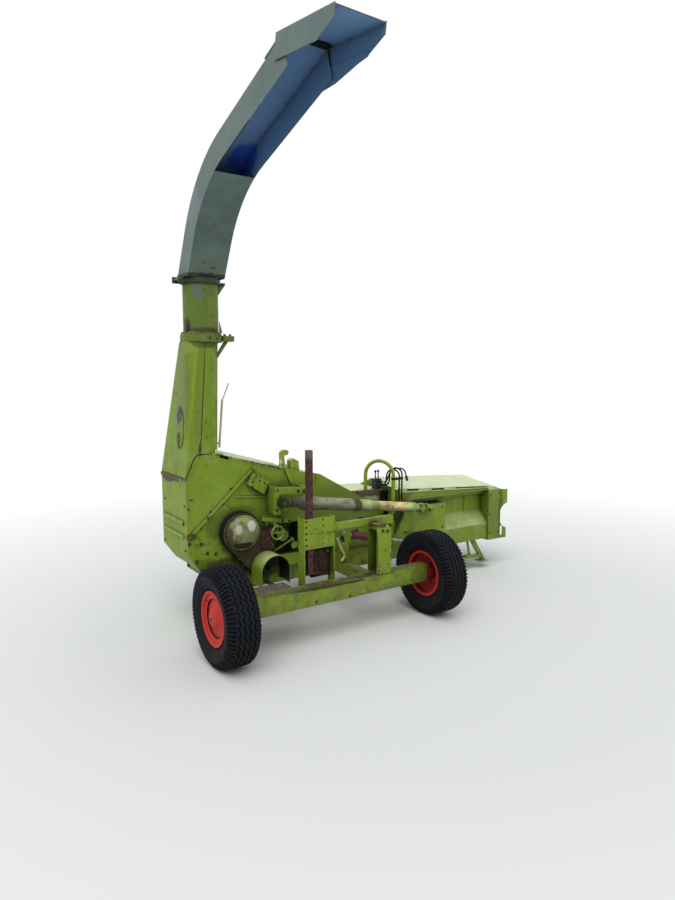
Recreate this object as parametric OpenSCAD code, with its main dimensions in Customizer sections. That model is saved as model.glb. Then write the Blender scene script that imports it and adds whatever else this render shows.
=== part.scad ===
// Trailed forage harvester with a side pick-up header, a chopper with a tall
// discharge tower and a curved spout. Millimetres, +X to the machine's right,
// +Y to its front, +Z up, origin on the ground under the middle of its outline.

/* [Wheels] */
// Distance between the middles of the two tyres
track = 2050; // [1900:10:2200]
// Outer diameter of a tyre
tyre_od = 760; // [720:5:800]
// Width of a tyre
tyre_w = 264; // [230:2:290]
// Diameter of the rim where the tyre's bead sits
rim_d = 388; // [360:4:400]
// Radius of a stub axle
stub_r = 32; // [24:1:40]

/* [Frame] */
// Gap between each end of the axle beam and the wheel's hub
beam_gap = 15; // [10:1:30]
// Height of the axle beam
beam_h = 150; // [120:5:160]
// Depth of the axle beam
beam_d = 110; // [80:5:120]
// Wall of the beam and of the frame's tubes
beam_wall = 8; // [5:1:12]
// Height of the frame's tubes
tube_h = 100; // [80:5:110]
// Width of the frame's tubes
tube_w = 80; // [60:5:100]
// Height of the frame tubes' top face above the ground
deck_z = 450; // [440:5:470]
// Place of the left rail's middle, across
rail_left_x = -700; // [-740:5:-660]
// Place of the right rail's middle, across
rail_right_x = 400; // [360:5:440]
// Place of the front cross tube's middle, along
front_y = 1460; // [1450:5:1480]

/* [Rear bracket and post] */
// Width of the holed bracket
bracket_w = 300; // [260:5:340]
// Left edge of the holed bracket
bracket_x = -295; // [-330:5:-260]
// Height of the holed bracket's top
bracket_top = 1015; // [960:5:1060]
// Width of the square parking post
park_w = 46; // [40:2:60]
// Length of the square parking post
park_l = 1020; // [900:10:1080]
// Left edge of the right post
post_x = 360; // [340:5:380]
// Width of the right post across
post_w = 156; // [140:2:170]
// Height of the right post's top
post_top = 870; // [840:5:920]

/* [Chopper housing] */
// Left face of the housing
house_left = -1040; // [-1060:5:-1020]
// Right face of the housing
house_right = 100; // [80:5:140]
// Rear face of the housing
house_rear = 700; // [680:5:720]
// Depth of the housing from rear to front
house_depth = 570; // [540:5:600]
// Height of the drum's axis
drum_z = 838; // [810:2:860]
// Place of the drum's axis, across
drum_x = -575; // [-600:5:-550]
// Radius of the domed hub cover
dome_r = 150; // [130:5:165]

/* [Tower and spout] */
// Height at which the tower starts
tower_z = 1330; // [1310:5:1360]
// Height of the tower's round top
tower_top = 2450; // [2300:10:2600]
// Place of the turntable's axis, across
neck_x = -815; // [-830:5:-800]
// Place of the turntable's axis, along
neck_y = 845; // [840:5:860]
// Outer radius of the round neck
neck_r = 145; // [130:5:155]
// Height of the neck between its two flanges
neck_h = 395; // [300:5:500]
// Width of the spout across
spout_w = 320; // [290:5:340]
// Depth of the spout from its top sheet to its underside
spout_d = 200; // [170:5:230]
// Radius of the bend of the spout's top sheet
spout_bend = 1150; // [1000:10:1300]
// Length of the spout's straight foot
spout_foot = 400; // [350:10:450]
// Length of the spout's straight end
spout_run = 955; // [800:5:1100]
// Steepness of the spout's foot, in degrees
spout_a0 = 62; // [58:1:66]
// Steepness of the spout's end, in degrees
spout_a1 = 17; // [14:1:20]
// Thickness of the spout's sheets
spout_t = 4; // [3:1:6]
// Length of the end flap
flap_l = 575; // [480:5:620]
// Fall of the end flap below level, in degrees
flap_a = 9; // [5:1:14]

/* [Feed channel] */
// Right end of the feed channel
feed_right = 1145; // [1130:5:1150]
// Rear side of the feed channel
feed_rear = 860; // [850:5:870]
// Width of the feed channel from rear to front
feed_w = 480; // [460:5:500]

/* [Header] */
// Left end plate of the header
head_left = 1200; // [1195:5:1205]
// Width of the header between its end plates
head_w = 1310; // [1200:10:1400]
// Width of the end case at the header's right
case_w = 190; // [160:5:210]
// Height of the header's bottom edge
head_low = 345; // [335:5:380]
// Height of the header's rear frame line
head_top = 905; // [890:5:915]
// Place of the lift hinge, across
hinge_x = 1300; // [1290:5:1310]
// Height of the lift hinge
hinge_z = 866; // [856:2:876]
// Radius of the lift hinge's pins
hinge_r = 25; // [18:1:28]
// Place of the auger's axis, along
auger_y = 1030; // [1020:5:1040]
// Height of the auger's axis
auger_z = 650; // [640:5:660]
// Outer radius of the auger's flight
auger_r = 170; // [150:5:180]
// Place of the reel's axis, along
reel_y = 1440; // [1435:5:1460]
// Height of the reel's axis
reel_z = 500; // [480:5:520]
// Radius of the reel at its tine tips
reel_r = 200; // [170:5:205]
// Number of tine bars on the reel
reel_bars = 5; // [4:1:6]
// Number of tines on one bar
reel_tines = 14; // [8:1:18]

/* [Drives and lift] */
// Place of the cross shaft and the hinge box, along
shaft_y = 500; // [490:5:510]
// Height of the cross shaft at the feed gearbox
shaft_z = 1060; // [1040:5:1080]
// Radius of the cross shaft's thick tube
shaft_r = 57; // [50:1:60]
// Radius of the cross shaft's thin tube
shaft_thin_r = 46; // [38:1:48]
// Place of the lift cylinder, along
lift_y = 520; // [510:5:530]
// Radius of the lift cylinder's barrel
lift_r = 36; // [30:1:40]
// Radius of the lift cylinder's rod
lift_rod_r = 18; // [14:1:22]
// Radius of the input stub
pto_r = 17.45; // [14:0.05:20]

/* [Drawbar] */
// Place of the drawbar's swing pin, across
swing_x = -160; // [-200:5:-120]
// Place of the drawbar's swing pin, along
swing_y = 1580; // [1570:5:1600]
// Distance from the swing pin to the hitch eye
drawbar_l = 580; // [500:10:660]
// Radius of the hitch eye's hole
hitch_r = 20; // [15:1:25]
// Thickness of the hitch eye
hitch_t = 35; // [25:1:45]

/* [Hidden] */
// Gap between a pin and its hole
run_gap = 0.3;
// Thickness of the common sheet
sheet = 6;
wheel_r = tyre_od / 2;
wheel_z = wheel_r;
hub_half = 70;
beam_l = track - 2 * (hub_half + beam_gap);
beam_z0 = wheel_z + 20 - beam_h / 2;
beam_top = beam_z0 + beam_h;
house_front = house_rear + house_depth;
head_right = head_left + head_w;
case_right = head_right + case_w;
ear_right = case_right + 110;
ring_h = 60;
flange_t = 20;
seat_gap = 0.5;
flap_pin_r = 8;
lift_pin_r = 16;
fold_x = neck_r + 50;
fold_pin_r = 9.7;
neck_z = tower_top + ring_h + seat_gap;
spout_z = neck_z + 2 * flange_t + neck_h + seat_gap + flange_t;
rear_edge = neck_y - spout_tip_u();
front_edge = swing_y + drawbar_l + hitch_eye_r();
left_edge = -track / 2 - tyre_w / 2;
mid_x = (left_edge + ear_right) / 2;
mid_y = (rear_edge + front_edge) / 2;
shaft_dx = hinge_x - shaft_x0();
shaft_a = atan2(shaft_z - hinge_z, shaft_dx);
shaft_l = sqrt(shaft_dx * shaft_dx + (shaft_z - hinge_z) * (shaft_z - hinge_z));
lift_a = atan2(lift_eye()[1] - lift_lug()[1], lift_lug()[0] - lift_eye()[0]);
lift_len = norm(lift_lug() - lift_eye());

// Left end of the cross shaft, across
function shaft_x0() = -60;
// Barrel eye of the lift cylinder, across and up
function lift_eye() = [430, 705];
// Rod eye of the lift cylinder on the header, across and up
function lift_lug() = [1400, 480];
// Outer radius of the hitch eye
function hitch_eye_r() = 48;

// The spout's line in its own plane: u runs rearwards from the turntable's axis,
// z is height. It has a straight foot, a bend and a straight end. Each function
// takes the distance d of the line below the top sheet.
function spout_u0(d) = -90 + d * sin(spout_a0);
function spout_z0(d) = spout_z - d * cos(spout_a0);
function foot_end(d) = [spout_u0(d) + spout_foot * cos(spout_a0),
                        spout_z0(d) + spout_foot * sin(spout_a0)];
function bend_point(d, a) = foot_end(0)
    + spout_bend * [sin(spout_a0) - sin(a), cos(a) - cos(spout_a0)]
    + d * [sin(a), -cos(a)];
function run_point(d, s) = bend_point(d, spout_a1) + s * [cos(spout_a1), sin(spout_a1)];
function run_end(d) = run_point(d, spout_run);
// Cut of the line with the level of the spout's flange
function foot_start(d) = [spout_u0(d) + (spout_z - spout_z0(d)) / tan(spout_a0), spout_z];
function spout_line(d, n = 10) = concat([foot_start(d)],
    [for (i = [0:n]) bend_point(d, spout_a0 + (spout_a1 - spout_a0) * i / n)], [run_end(d)]);
function reversed(list) = [for (i = [len(list) - 1:-1:0]) list[i]];
function spout_band(d0, d1) = concat(spout_line(d0), reversed(spout_line(d1)));
function flap_point(s, d) = run_end(0)
    + s * [cos(flap_a), -sin(flap_a)] - d * [sin(flap_a), cos(flap_a)];
function spout_tip_u() = flap_point(flap_l, 0)[0];

// Everything is drawn about the axle's middle and moved to the outline's middle
module place() {
    translate([-mid_x, -mid_y, 0]) children();
}

// A box between two corners
module block(low, high) {
    translate(low) cube(high - low);
}

// An outline in X and Z, thick from y0 to y1
module plate_xz(points, y0, y1) {
    translate([0, y1, 0]) rotate([90, 0, 0]) linear_extrude(y1 - y0) polygon(points);
}

// An outline in Y and Z, thick from x0 to x1
module plate_yz(points, x0, x1) {
    translate([x0, 0, 0]) rotate([90, 0, 90]) linear_extrude(x1 - x0) polygon(points);
}

// An outline in X and Y, thick from z0 to z1
module plate_xy(points, z0, z1) {
    translate([0, 0, z0]) linear_extrude(z1 - z0) polygon(points);
}

module rod_x(r, x0, x1, y, z, fn = 48) {
    translate([x0, y, z]) rotate([0, 90, 0]) cylinder(r = r, h = x1 - x0, $fn = fn);
}

module rod_y(r, y0, y1, x, z, fn = 48) {
    translate([x, y1, z]) rotate([90, 0, 0]) cylinder(r = r, h = y1 - y0, $fn = fn);
}

module rod_z(r, z0, z1, x, y, fn = 48) {
    translate([x, y, z0]) cylinder(r = r, h = z1 - z0, $fn = fn);
}

// A round bar between two points
module strut(a, b, r, fn = 24) {
    v = b - a;
    translate(a) rotate([0, acos(v[2] / norm(v)), atan2(v[1], v[0])])
        cylinder(r = r, h = norm(v), $fn = fn);
}

module ring_z(r1, r0, z0, z1, x, y) {
    difference() {
        rod_z(r1, z0, z1, x, y, 64);
        rod_z(r0, z0 - 1, z1 + 1, x, y, 64);
    }
}

// A square tube along Y or X, open at its ends
module tube_along_y(x, y0, y1, z0, w, h, wall) {
    difference() {
        block([x - w / 2, y0, z0], [x + w / 2, y1, z0 + h]);
        block([x - w / 2 + wall, y0 - 1, z0 + wall], [x + w / 2 - wall, y1 + 1, z0 + h - wall]);
    }
}

module tube_along_x(x0, x1, y, z0, w, h, wall) {
    difference() {
        block([x0, y - w / 2, z0], [x1, y + w / 2, z0 + h]);
        block([x0 - 1, y - w / 2 + wall, z0 + wall], [x1 + 1, y + w / 2 - wall, z0 + h - wall]);
    }
}

// Axle beam with a row of holes along its top and the two stub axles
module axle_beam() {
    hole_pitch = 60;
    hole_r = 9;
    plate_t = 12;
    color("#7f9a2e") place() {
        difference() {
            block([-beam_l / 2, -beam_d / 2, beam_z0], [beam_l / 2, beam_d / 2, beam_top]);
            block([-beam_l / 2 + plate_t, -beam_d / 2 + beam_wall, beam_z0 + beam_wall],
                [beam_l / 2 - plate_t, beam_d / 2 - beam_wall, beam_top - beam_wall]);
            for (i = [-13:13])
                rod_z(hole_r, beam_top - beam_wall - 1, beam_top + 1,
                    i * hole_pitch, -beam_d / 2 + 24, 24);
        }
        for (side = [-1, 1])
            rod_x(stub_r, min(side * beam_l / 2, side * (track / 2 + 28)),
                max(side * beam_l / 2, side * (track / 2 + 28)), 0, wheel_z);
    }
}

// Two rails, a rear and a front cross tube, and the plates of the drawbar's pin
module frame_rails() {
    z0 = deck_z - tube_h;
    rear_y = feed_rear - tube_w / 2 - 20;
    rear_z = z0 - 60;
    rear_h = tube_h + 60;
    color("#7f9a2e") place() {
        for (x = [rail_left_x, rail_right_x])
            tube_along_y(x, beam_d / 2, front_y - tube_w / 2, z0, tube_w, tube_h, beam_wall);
        tube_along_x(rail_left_x + tube_w / 2, rail_right_x - tube_w / 2, rear_y, rear_z,
            tube_w, rear_h, beam_wall);
        tube_along_x(rail_right_x + tube_w / 2, feed_right, rear_y, rear_z, tube_w, rear_h,
            beam_wall);
        tube_along_x(rail_left_x - tube_w / 2, feed_right, front_y, z0, tube_w, tube_h, beam_wall);
        for (z = [z0 + 6, deck_z - 6 - 14]) difference() {
            plate_xy([[swing_x - 150, front_y + tube_w / 2], [swing_x + 150, front_y + tube_w / 2],
                [swing_x + 60, swing_y + 60], [swing_x - 60, swing_y + 60]], z, z + 14);
            rod_z(20, z - 1, z + 15, swing_x, swing_y);
        }
    }
}

// Channel that stands on the beam, with two columns of pin holes in its web
module holed_bracket() {
    y0 = beam_d / 2 + 5;
    web_low = 760;
    flange_d = 100;
    color("#88a432") place() difference() {
        union() {
            block([bracket_x, y0, web_low], [bracket_x + bracket_w, y0 + 8, bracket_top]);
            for (x = [bracket_x, bracket_x + bracket_w - 8])
                block([x, y0, beam_top - 60], [x + 8, y0 + flange_d, bracket_top]);
            block([bracket_x, beam_d / 2, beam_top - 60], [bracket_x + bracket_w, y0, beam_top - 10]);
        }
        for (col = [20, 180], row = [0:4])
            rod_y(9, y0 - 1, y0 + 9, bracket_x + col, web_low + 35 + row * 50, 24);
    }
    color("#88a432") place() for (z = [web_low + 12, bracket_top - 60]) difference() {
        block([park_x() - 8, y0 + 8, z], [park_x() + park_w + 8, park_y() + park_w + 8, z + 40]);
        block([park_x() - run_gap, y0 + 7, z - 1],
            [park_x() + park_w + run_gap, park_y() + park_w + run_gap, z + 41]);
    }
}

// Corner of the parking post, across and along
function park_x() = bracket_x + 8 + 36;
function park_y() = beam_d / 2 + 5 + 8 + run_gap;

// Square parking post, raised, held in the holed bracket
module parking_post() {
    x0 = park_x();
    y0 = park_y();
    color("#5b3a2e") place() {
        difference() {
            block([x0, y0, 555], [x0 + park_w, y0 + park_w, 555 + park_l]);
            for (i = [0:7]) rod_y(9, y0 - 1, y0 + park_w + 1, x0 + park_w / 2, 640 + i * 60, 24);
        }
        block([x0 - 12, y0, 545], [x0 + park_w + 60, y0 + park_w, 555]);
    }
}

// Channel post on the beam's right half, with the cross tube that ties it to the bracket
module right_post() {
    d = 132;
    y0 = -beam_d / 2;
    tie_x0 = bracket_x + bracket_w;
    color("#7f9a2e") place() {
        difference() {
            block([post_x, y0, beam_top], [post_x + post_w, y0 + d, post_top]);
            block([post_x - 1, y0 + 8, beam_top + 10],
                [post_x + post_w - 8, y0 + d - 8, post_top - 10]);
        }
        tube_along_x(tie_x0, post_x + post_w + 120, beam_d / 2 + 40, post_top, 50, 72, 6);
        block([post_x, y0, post_top], [post_x + 100, y0 + 90, post_top + 44]);
    }
}

// Rusty block with a round boss that closes the holed bracket's opening
module bracket_block() {
    x1 = bracket_x + bracket_w - 8;
    x0 = x1 - 186;
    y0 = park_y() + park_w + 8;
    y1 = beam_d / 2 + 5 + 98;
    color("#5b3a2e") place() {
        block([x0, y0, 500], [x1, y1, 742]);
        block([x0, y0 - 14, 742], [x1, y1, 750]);
        rod_y(52, y0 - 8, y0, x0 + 120, 600, 48);
        rod_y(30, y0 - 12, y0 - 8, x0 + 120, 600, 48);
        block([x0 + 6, y0 - 10, 655], [x1 - 6, y0, 668]);
    }
}

// Pedestal on the right rail with the ears and the pin of the lift cylinder's barrel
module lift_bracket() {
    x0 = rail_right_x - tube_w / 2;
    x1 = lift_eye()[0] + 32;
    y0 = lift_y - 40;
    color("#7f9a2e") place() {
        block([x0, y0, deck_z], [x0 + tube_w, y0 + 80, 630]);
        block([x0, y0, 630], [x1, y0 + 80, 640]);
        for (y = [y0, y0 + 68])
            plate_xz([[x1 - 64, 640], [x1, 640], [x1, 722], [x1 - 14, 737], [x1 - 50, 737],
                [x1 - 64, 722]], y, y + 12);
        rod_y(lift_pin_r, y0 - 6, y0 + 86, lift_eye()[0], lift_eye()[1], 32);
    }
}

// Chequered step between the left wheel and the beam
module step_plate() {
    color("#6d6258") place() {
        block([rail_left_x + tube_w / 2, beam_d / 2, deck_z - 30],
            [rail_left_x + tube_w / 2 + 330, beam_d / 2 + 300, deck_z - 24]);
        block([rail_left_x + tube_w / 2, beam_d / 2 + 288, deck_z - 60],
            [rail_left_x + tube_w / 2 + 330, beam_d / 2 + 300, deck_z - 30]);
    }
}

function house_outline() = [[house_left, tower_z], [house_left, 690], [house_left + 106, 540],
    [rail_left_x - tube_w / 2, deck_z], [house_right, deck_z], [house_right, 1290],
    [tower_edge(1548) + seat_gap, 1548], [tower_right() + seat_gap, tower_z]];
function tower_right() = -760;
// Height of the housing's sloping top at a place across
function house_top(x) = 1290 + (house_right - x) * 258
    / (house_right - tower_edge(1548) - seat_gap);

// Closed casing round the cutting drum
module chopper_housing() {
    pocket_x = [drum_x + 350, house_right - 70];
    diagonal = [[house_left + 2, 847], [house_left + 2, 1310], [-990, 1345], [-945, 1440],
        [-908, 1512], [-870, 1524], [tower_edge(1524), 1524], [-445, 1432], [-409, 1404]];
    color("#84a030") place() {
        difference() {
            plate_xz(house_outline(), house_rear, house_front);
            block([house_right - 60, feed_rear + sheet, deck_z + 60],
                [house_right + 1, feed_rear + feed_w - sheet, 1180]);
            block([pocket_x[0], house_rear - 1, 560], [pocket_x[1], house_rear + 150, 852]);
            plate_xz([[tower_right() + 20, 1488], [tower_right() + 20, 1516],
                [tower_right() + 104, 1490], [tower_right() + 104, 1462]],
                house_rear - 1, house_rear + 40);
        }
        difference() {
            plate_xz(diagonal, house_rear - 4, house_rear);
            plate_xz([[tower_right() + 20, 1488], [tower_right() + 20, 1520],
                [tower_right() + 104, 1500], [tower_right() + 104, 1462]],
                house_rear - 5, house_rear + 1);
        }
        rod_y(90, house_front, house_front + 40, drum_x, drum_z);
    }
}

// Angles and ribs on the housing's rear and left faces
module housing_ribs() {
    y0 = house_rear - 4;
    top_x = tower_edge(1548) + seat_gap;
    color("#8aa738") place() {
        plate_xz([[-1032, 845], [-1032, 815], [-409, 1376], [-409, 1406]],
            house_rear - 18, y0);
        plate_xz([[top_x - 34, 1562], [-230, 1404], [-135, 1362], [-135, 1344], [-230, 1380],
            [top_x - 34, 1526]], house_rear - 18, y0);
        for (z = [820, 936])
            block([house_left - 14, house_rear + 60, z], [house_left, house_front - 36, z + 30]);
        block([house_left - 10, house_rear - 4, tower_z - 30],
            [house_left, house_front, tower_z]);
        plate_xz([[-704, 1104], [-696, 1111], [-622, 1042], [-630, 1035]], y0 - 4, house_rear);
        plate_xz([[-604, 1146], [-604, 1134], [-310, 1104], [-310, 1116]], y0 - 6, house_rear);
        plate_xz([[-132, 1383], [-88, 1383], [-36, 1262], [-18, 1215], [-52, 1200], [-80, 1255]],
            y0 - 10, house_rear);
        plate_xz([[-152, house_top(-152)], [-152, 1490], [-130, 1512], [-84, 1512], [-62, 1488],
            [-84, 1462], [-104, 1470], [-112, 1440], [-100, 1383], [-96, house_top(-96)]],
            house_rear, house_rear + 26);
        plate_xz([[-28, house_top(-28)], [-28, 1406], [8, 1424], [60, 1396], [70, house_top(70)]],
            house_rear + 40, house_rear + 100);
    }
}

// Folded sheet tower from a rectangular base to a round top
module tower() {
    color("#84a030") place() difference() {
        tower_shell(0);
        tower_shell(sheet);
    }
}

// Oval hatch with its knob on the tower's left face
module tower_hatch() {
    lean = atan2(neck_x - 25 - neck_r - house_left, tower_top - tower_z - 24);
    low = 1660;
    high = 1800;
    r = 82;
    edge_x = house_left + ((low + high) / 2 - tower_z - 12) * tan(lean);
    color("#7f9a2e") place() translate([edge_x, 850, (low + high) / 2]) rotate([0, lean, 0])
        rotate([90, 0, -90]) {
            translate([0, 0, run_gap]) linear_extrude(7) union() {
                for (z = [low - high, high - low]) translate([0, z / 2]) circle(r = r, $fn = 48);
                translate([-r, (low - high) / 2]) square([2 * r, high - low]);
            }
            translate([0, (low - high) / 2 - 20, 7]) cylinder(r = 22, h = 16, $fn = 32);
            translate([-14, (low - high) / 2 - 20, 23]) cube([28, 60, 6]);
        }
}

// Solid between the tower's base and its octagonal top, drawn in by a wall
module tower_shell(wall) {
    extra = wall > 0 ? 1 : 0;
    hull() {
        block([house_left + wall, house_rear + wall, tower_z - extra],
            [tower_right() - wall, house_front - wall, tower_z + 12]);
        translate([neck_x - 25, neck_y, tower_top - 12]) rotate([0, 0, 22.5])
            cylinder(r = (neck_r - wall) / cos(22.5), h = 12 + extra, $fn = 8);
    }
}

// Lower ring of the turntable with the worm's bracket
module turntable_ring() {
    color("#76902c") place() {
        ring_z(neck_r + 28, neck_r - 40, tower_top, tower_top + ring_h, neck_x, neck_y);
        block([neck_x + neck_r + 10, neck_y - 100, tower_top + 10],
            [neck_x + neck_r + 110, neck_y - 20, tower_top + 55]);
        for (x = [neck_x + neck_r + 40, neck_x + neck_r + 90])
            rod_z(11, tower_top + 50, tower_top + 72, x, neck_y - 60, 24);
        plate_xz([[neck_x + neck_r + 72, tower_top + 16], [neck_x + neck_r + 38, tower_top + 16],
            [tower_edge(tower_top - 90) + 3 * run_gap, tower_top - 90],
            [tower_edge(tower_top - 130) + 3 * run_gap, tower_top - 130]], neck_y - 72, neck_y - 48);
    }
}

// Neck tube with its two flanges
module spout_neck() {
    z1 = neck_z + flange_t;
    color("#6f8740") place() {
        ring_z(neck_r + 20, neck_r - 5, neck_z, z1, neck_x, neck_y);
        ring_z(neck_r, neck_r - 5, z1, z1 + neck_h, neck_x, neck_y);
        ring_z(neck_r + 20, neck_r - 5, z1 + neck_h, z1 + neck_h + flange_t, neck_x, neck_y);
        for (side = [-1, 1]) {
            plate_xz([for (p = [[-4, 0], [20, 0], [-4, 95]])
                [neck_x + side * (neck_r + p[0]), z1 + p[1]]], neck_y - 60, neck_y - 52);
            rod_z(9, z1, z1 + 14, neck_x + side * 60, neck_y - neck_r - 11, 24);
        }
        plate_xz([[neck_x + neck_r - 4, z1 + neck_h - 88], [neck_x + neck_r + 62, z1 + neck_h + 4],
            [neck_x + neck_r + 62, z1 + neck_h + flange_t], [neck_x + neck_r - 4, z1 + neck_h + flange_t]],
            neck_y - 40, neck_y + 40);
        for (y = [neck_y - 70, neck_y + 50]) difference() {
            plate_xz([for (p = [[-70, -40], [10, -40], [10, -20], [-27, -20], [-27, 10], [-70, 10]])
                p + [neck_x - neck_r, spout_z - seat_gap]], y, y + 20);
            rod_y(10, y - 1, y + 21, neck_x - fold_x, spout_z - 10, 24);
        }
    }
}

// Curved duct of the spout, closed below at its foot and open beyond
module spout_duct() {
    color("#6f8740") place() translate([neck_x, neck_y, 0]) {
        for (x = [-spout_w / 2, spout_w / 2 - spout_t])
            translate([x, 0, 0]) spout_sheet(spout_band(0, spout_d), spout_t);
        translate([-spout_w / 2, 0, 0]) spout_sheet(spout_band(0, spout_t), spout_w);
        translate([-spout_w / 2, 0, 0]) spout_sheet(concat(closed_line(spout_d - spout_t),
            reversed(closed_line(spout_d))), spout_w);
        ring_z(neck_r + 20, neck_r - 30, spout_z - flange_t, spout_z, 0, 0);
        rod_y(fold_pin_r, -80, 80, -fold_x, spout_z - 10, 24);
        block([-fold_x - 12, -40, spout_z - flange_t], [-neck_r + 10, 40, spout_z]);
        for (s = [735, 925]) translate([-134, 0, 0]) spout_sheet([run_point(1, s - 12),
            run_point(1, s + 12), run_point(-56, s + 9), run_point(-56, s - 9)], 8);
        strut([-130, -run_point(-44, 700)[0], run_point(-44, 700)[1]],
            [-130, -run_point(-44, 946)[0], run_point(-44, 946)[1]], 10);
        for (x = [-110, 94]) difference() {
            translate([x, 0, 0]) spout_sheet([run_end(0) + [-24, -8], run_end(0) + [9, 1],
                run_end(0) + [9, 22], run_end(0) + [-12, 22]], 16);
            rod_x(flap_pin_r + run_gap, x - 1, x + 17, -run_end(0)[0], run_end(0)[1] + 12, 32);
        }
    }
}

// The lower part of the spout's line, up to where the underside opens
function closed_line(d) = concat([foot_start(d)],
    [for (i = [0:8]) bend_point(d, spout_a0 + (spout_a1 - spout_a0) * i / 10)]);

// An outline in the spout's plane, thick along X
module spout_sheet(points, thick) {
    rotate([90, 0, 90]) linear_extrude(thick) polygon([for (p = points) [-p[0], p[1]]]);
}

// End flap: a top sheet with two side sheets, hinged at the spout's end
module end_flap() {
    gap = 6;
    w = spout_w + 2 * gap;
    lug_gap = 6;
    color("#5f7840") place() translate([neck_x, neck_y, 0]) {
        for (x = [-w / 2 - spout_t, w / 2])
            translate([x, 0, 0]) spout_sheet([flap_point(-60, -20), flap_point(flap_l, -20),
                flap_point(flap_l, 46), flap_point(flap_l - 160, 126), flap_point(-60, 130)],
                spout_t);
        difference() {
            translate([-w / 2, 0, 0]) spout_sheet([flap_point(0, -14), flap_point(flap_l, -14),
                flap_point(flap_l, -10), flap_point(0, -10)], w);
            for (x = [-110, 94]) translate([x - lug_gap, 0, 0]) spout_sheet([flap_point(-4, -22),
                flap_point(24, -22), flap_point(24, -4), flap_point(-4, -4)], 16 + 2 * lug_gap);
        }
        u = run_end(0)[0];
        z = run_end(0)[1];
        rod_x(flap_pin_r, -w / 2 - spout_t, w / 2 + spout_t, -u, z + 12, 32);
    }
}

// Belt case between the hub and the lower shaft
module gear_case() {
    color("#6e665a") place() translate([0, house_rear, 0]) rotate([90, 0, 0])
        linear_extrude(90) hull() {
            translate([drum_x - 6, drum_z]) circle(r = dome_r + 20, $fn = 48);
            translate(low_shaft()) circle(r = 122, $fn = 48);
        }
}

// Place of the lower shaft under its hood, across and up
function low_shaft() = [drum_x + 215, 510];

// Domed cover over the drum's bearing
module hub_dome() {
    color("#b9bd9d") place() translate([drum_x, house_rear - 90, drum_z]) rotate([90, 0, 0])
        rotate_extrude($fn = 64) polygon(concat([[0, 0], [dome_r + 6, 0], [dome_r + 6, 12]],
            [for (i = [0:8]) [dome_r * cos(i * 90 / 8), 12 + 62 * sin(i * 90 / 8)]]));
}

// Half-round guard over the lower shaft, open to the rear
module shaft_hood() {
    r = 138;
    x = low_shaft()[0];
    z = low_shaft()[1];
    y0 = house_rear - 285;
    y1 = house_rear - 90;
    color("#7f9a2e") place() {
        difference() {
            union() {
                rod_y(r, y0, y1, x, z, 64);
                block([x - r, y0, z - 125], [x + r, y1, z]);
            }
            rod_y(r - 5, y0 - 10, y1 - 6, x, z, 64);
            block([x - r + 5, y0 - 10, z - 135], [x + r - 5, y1 - 6, z]);
        }
        rod_y(58, y1 - 60, y1 - 6, x, z, 48);
        rod_y(26, y1 - 130, y1 - 60, x, z, 32);
    }
}

// Gearbox of the feed rolls with the outlet of the cross shaft
module feed_gearbox() {
    strap_y = 545;
    color("#7d9433") place() {
        difference() {
            plate_xz([[-495, 1239], [-442, 1335], [-286, 1248], [-348, 1144]], house_rear - 52,
                house_rear);
            plate_xz([[-470, 1238], [-430, 1305], [-330, 1240], [-352, 1180]], house_rear - 44,
                house_rear + 1);
            for (x = [-385, -340])
                rod_y(9, house_rear - 53, house_rear - 40, x, 1264 - (x + 385) * 0.5, 24);
        }
        difference() {
            plate_xz([[-300, 972], [-300, 1214], [28, 1186], [28, 1118], [-244, 1144], [-244, 972]],
                strap_y, strap_y + 12);
            rod_y(14, strap_y - 1, strap_y + 13, -266, 1180, 32);
        }
        block([-300, strap_y + 12, 972], [-288, house_rear, 1214]);
        block([16, strap_y + 12, 1118], [28, house_rear, 1186]);
        difference() {
            union() {
                block([-252, shaft_y - 42, 1026], [-216, strap_y, 1128]);
                shaft_line() translate([0, 0, -196]) cylinder(r = 42, h = 44, $fn = 48);
            }
            shaft_line() translate([0, 0, -176]) cylinder(r = stub_d() + run_gap, h = 40, $fn = 48);
        }
        plate_xz([[-395, 952], [-105, 896], [-105, 864], [-395, 920]], 600, 612);
        for (x = [-340, -150]) block([x - 8, 612, 880], [x + 8, house_rear, 900]);
        rod_y(12, 540, house_rear, -270, 868, 24);
        for (a = [0, 90, 180, 270]) translate([-270, 549, 808]) rotate([0, a, 0])
            cylinder(r = 4, h = 56, $fn = 16);
        rod_y(14, 542, 612, -270, 808, 24);
        block([-278, 600, 808], [-262, 612, 930]);
        translate([-270, 549, 808]) rotate([90, 0, 0]) rotate_extrude($fn = 48)
            translate([58, 0]) circle(r = 7, $fn = 20);
        rod_y(52, house_rear - 40, house_rear + 150, -150, 745, 48);
        rod_y(34, house_rear - 30, house_rear + 150, -30, 640, 48);
        strut([-250, 690, 600], [-60, 660, 700], 9);
        block([-70, 650, 690], [-50, house_rear + 150, 712]);
    }
}

function feed_top() = [[house_right, 1290], [370, 1235], [900, 940], [feed_right, 862]];
function feed_low() = [[house_right, deck_z], [rail_right_x + tube_w / 2, deck_z], [900, 470],
    [feed_right, 500]];
// Height of the channel's folded top, and of the lid on it, at a place across
function feed_top_z(x) = lookup(x, feed_top());
function lid_top(x) = 1030 - (x - 750) * 0.045;

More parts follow.
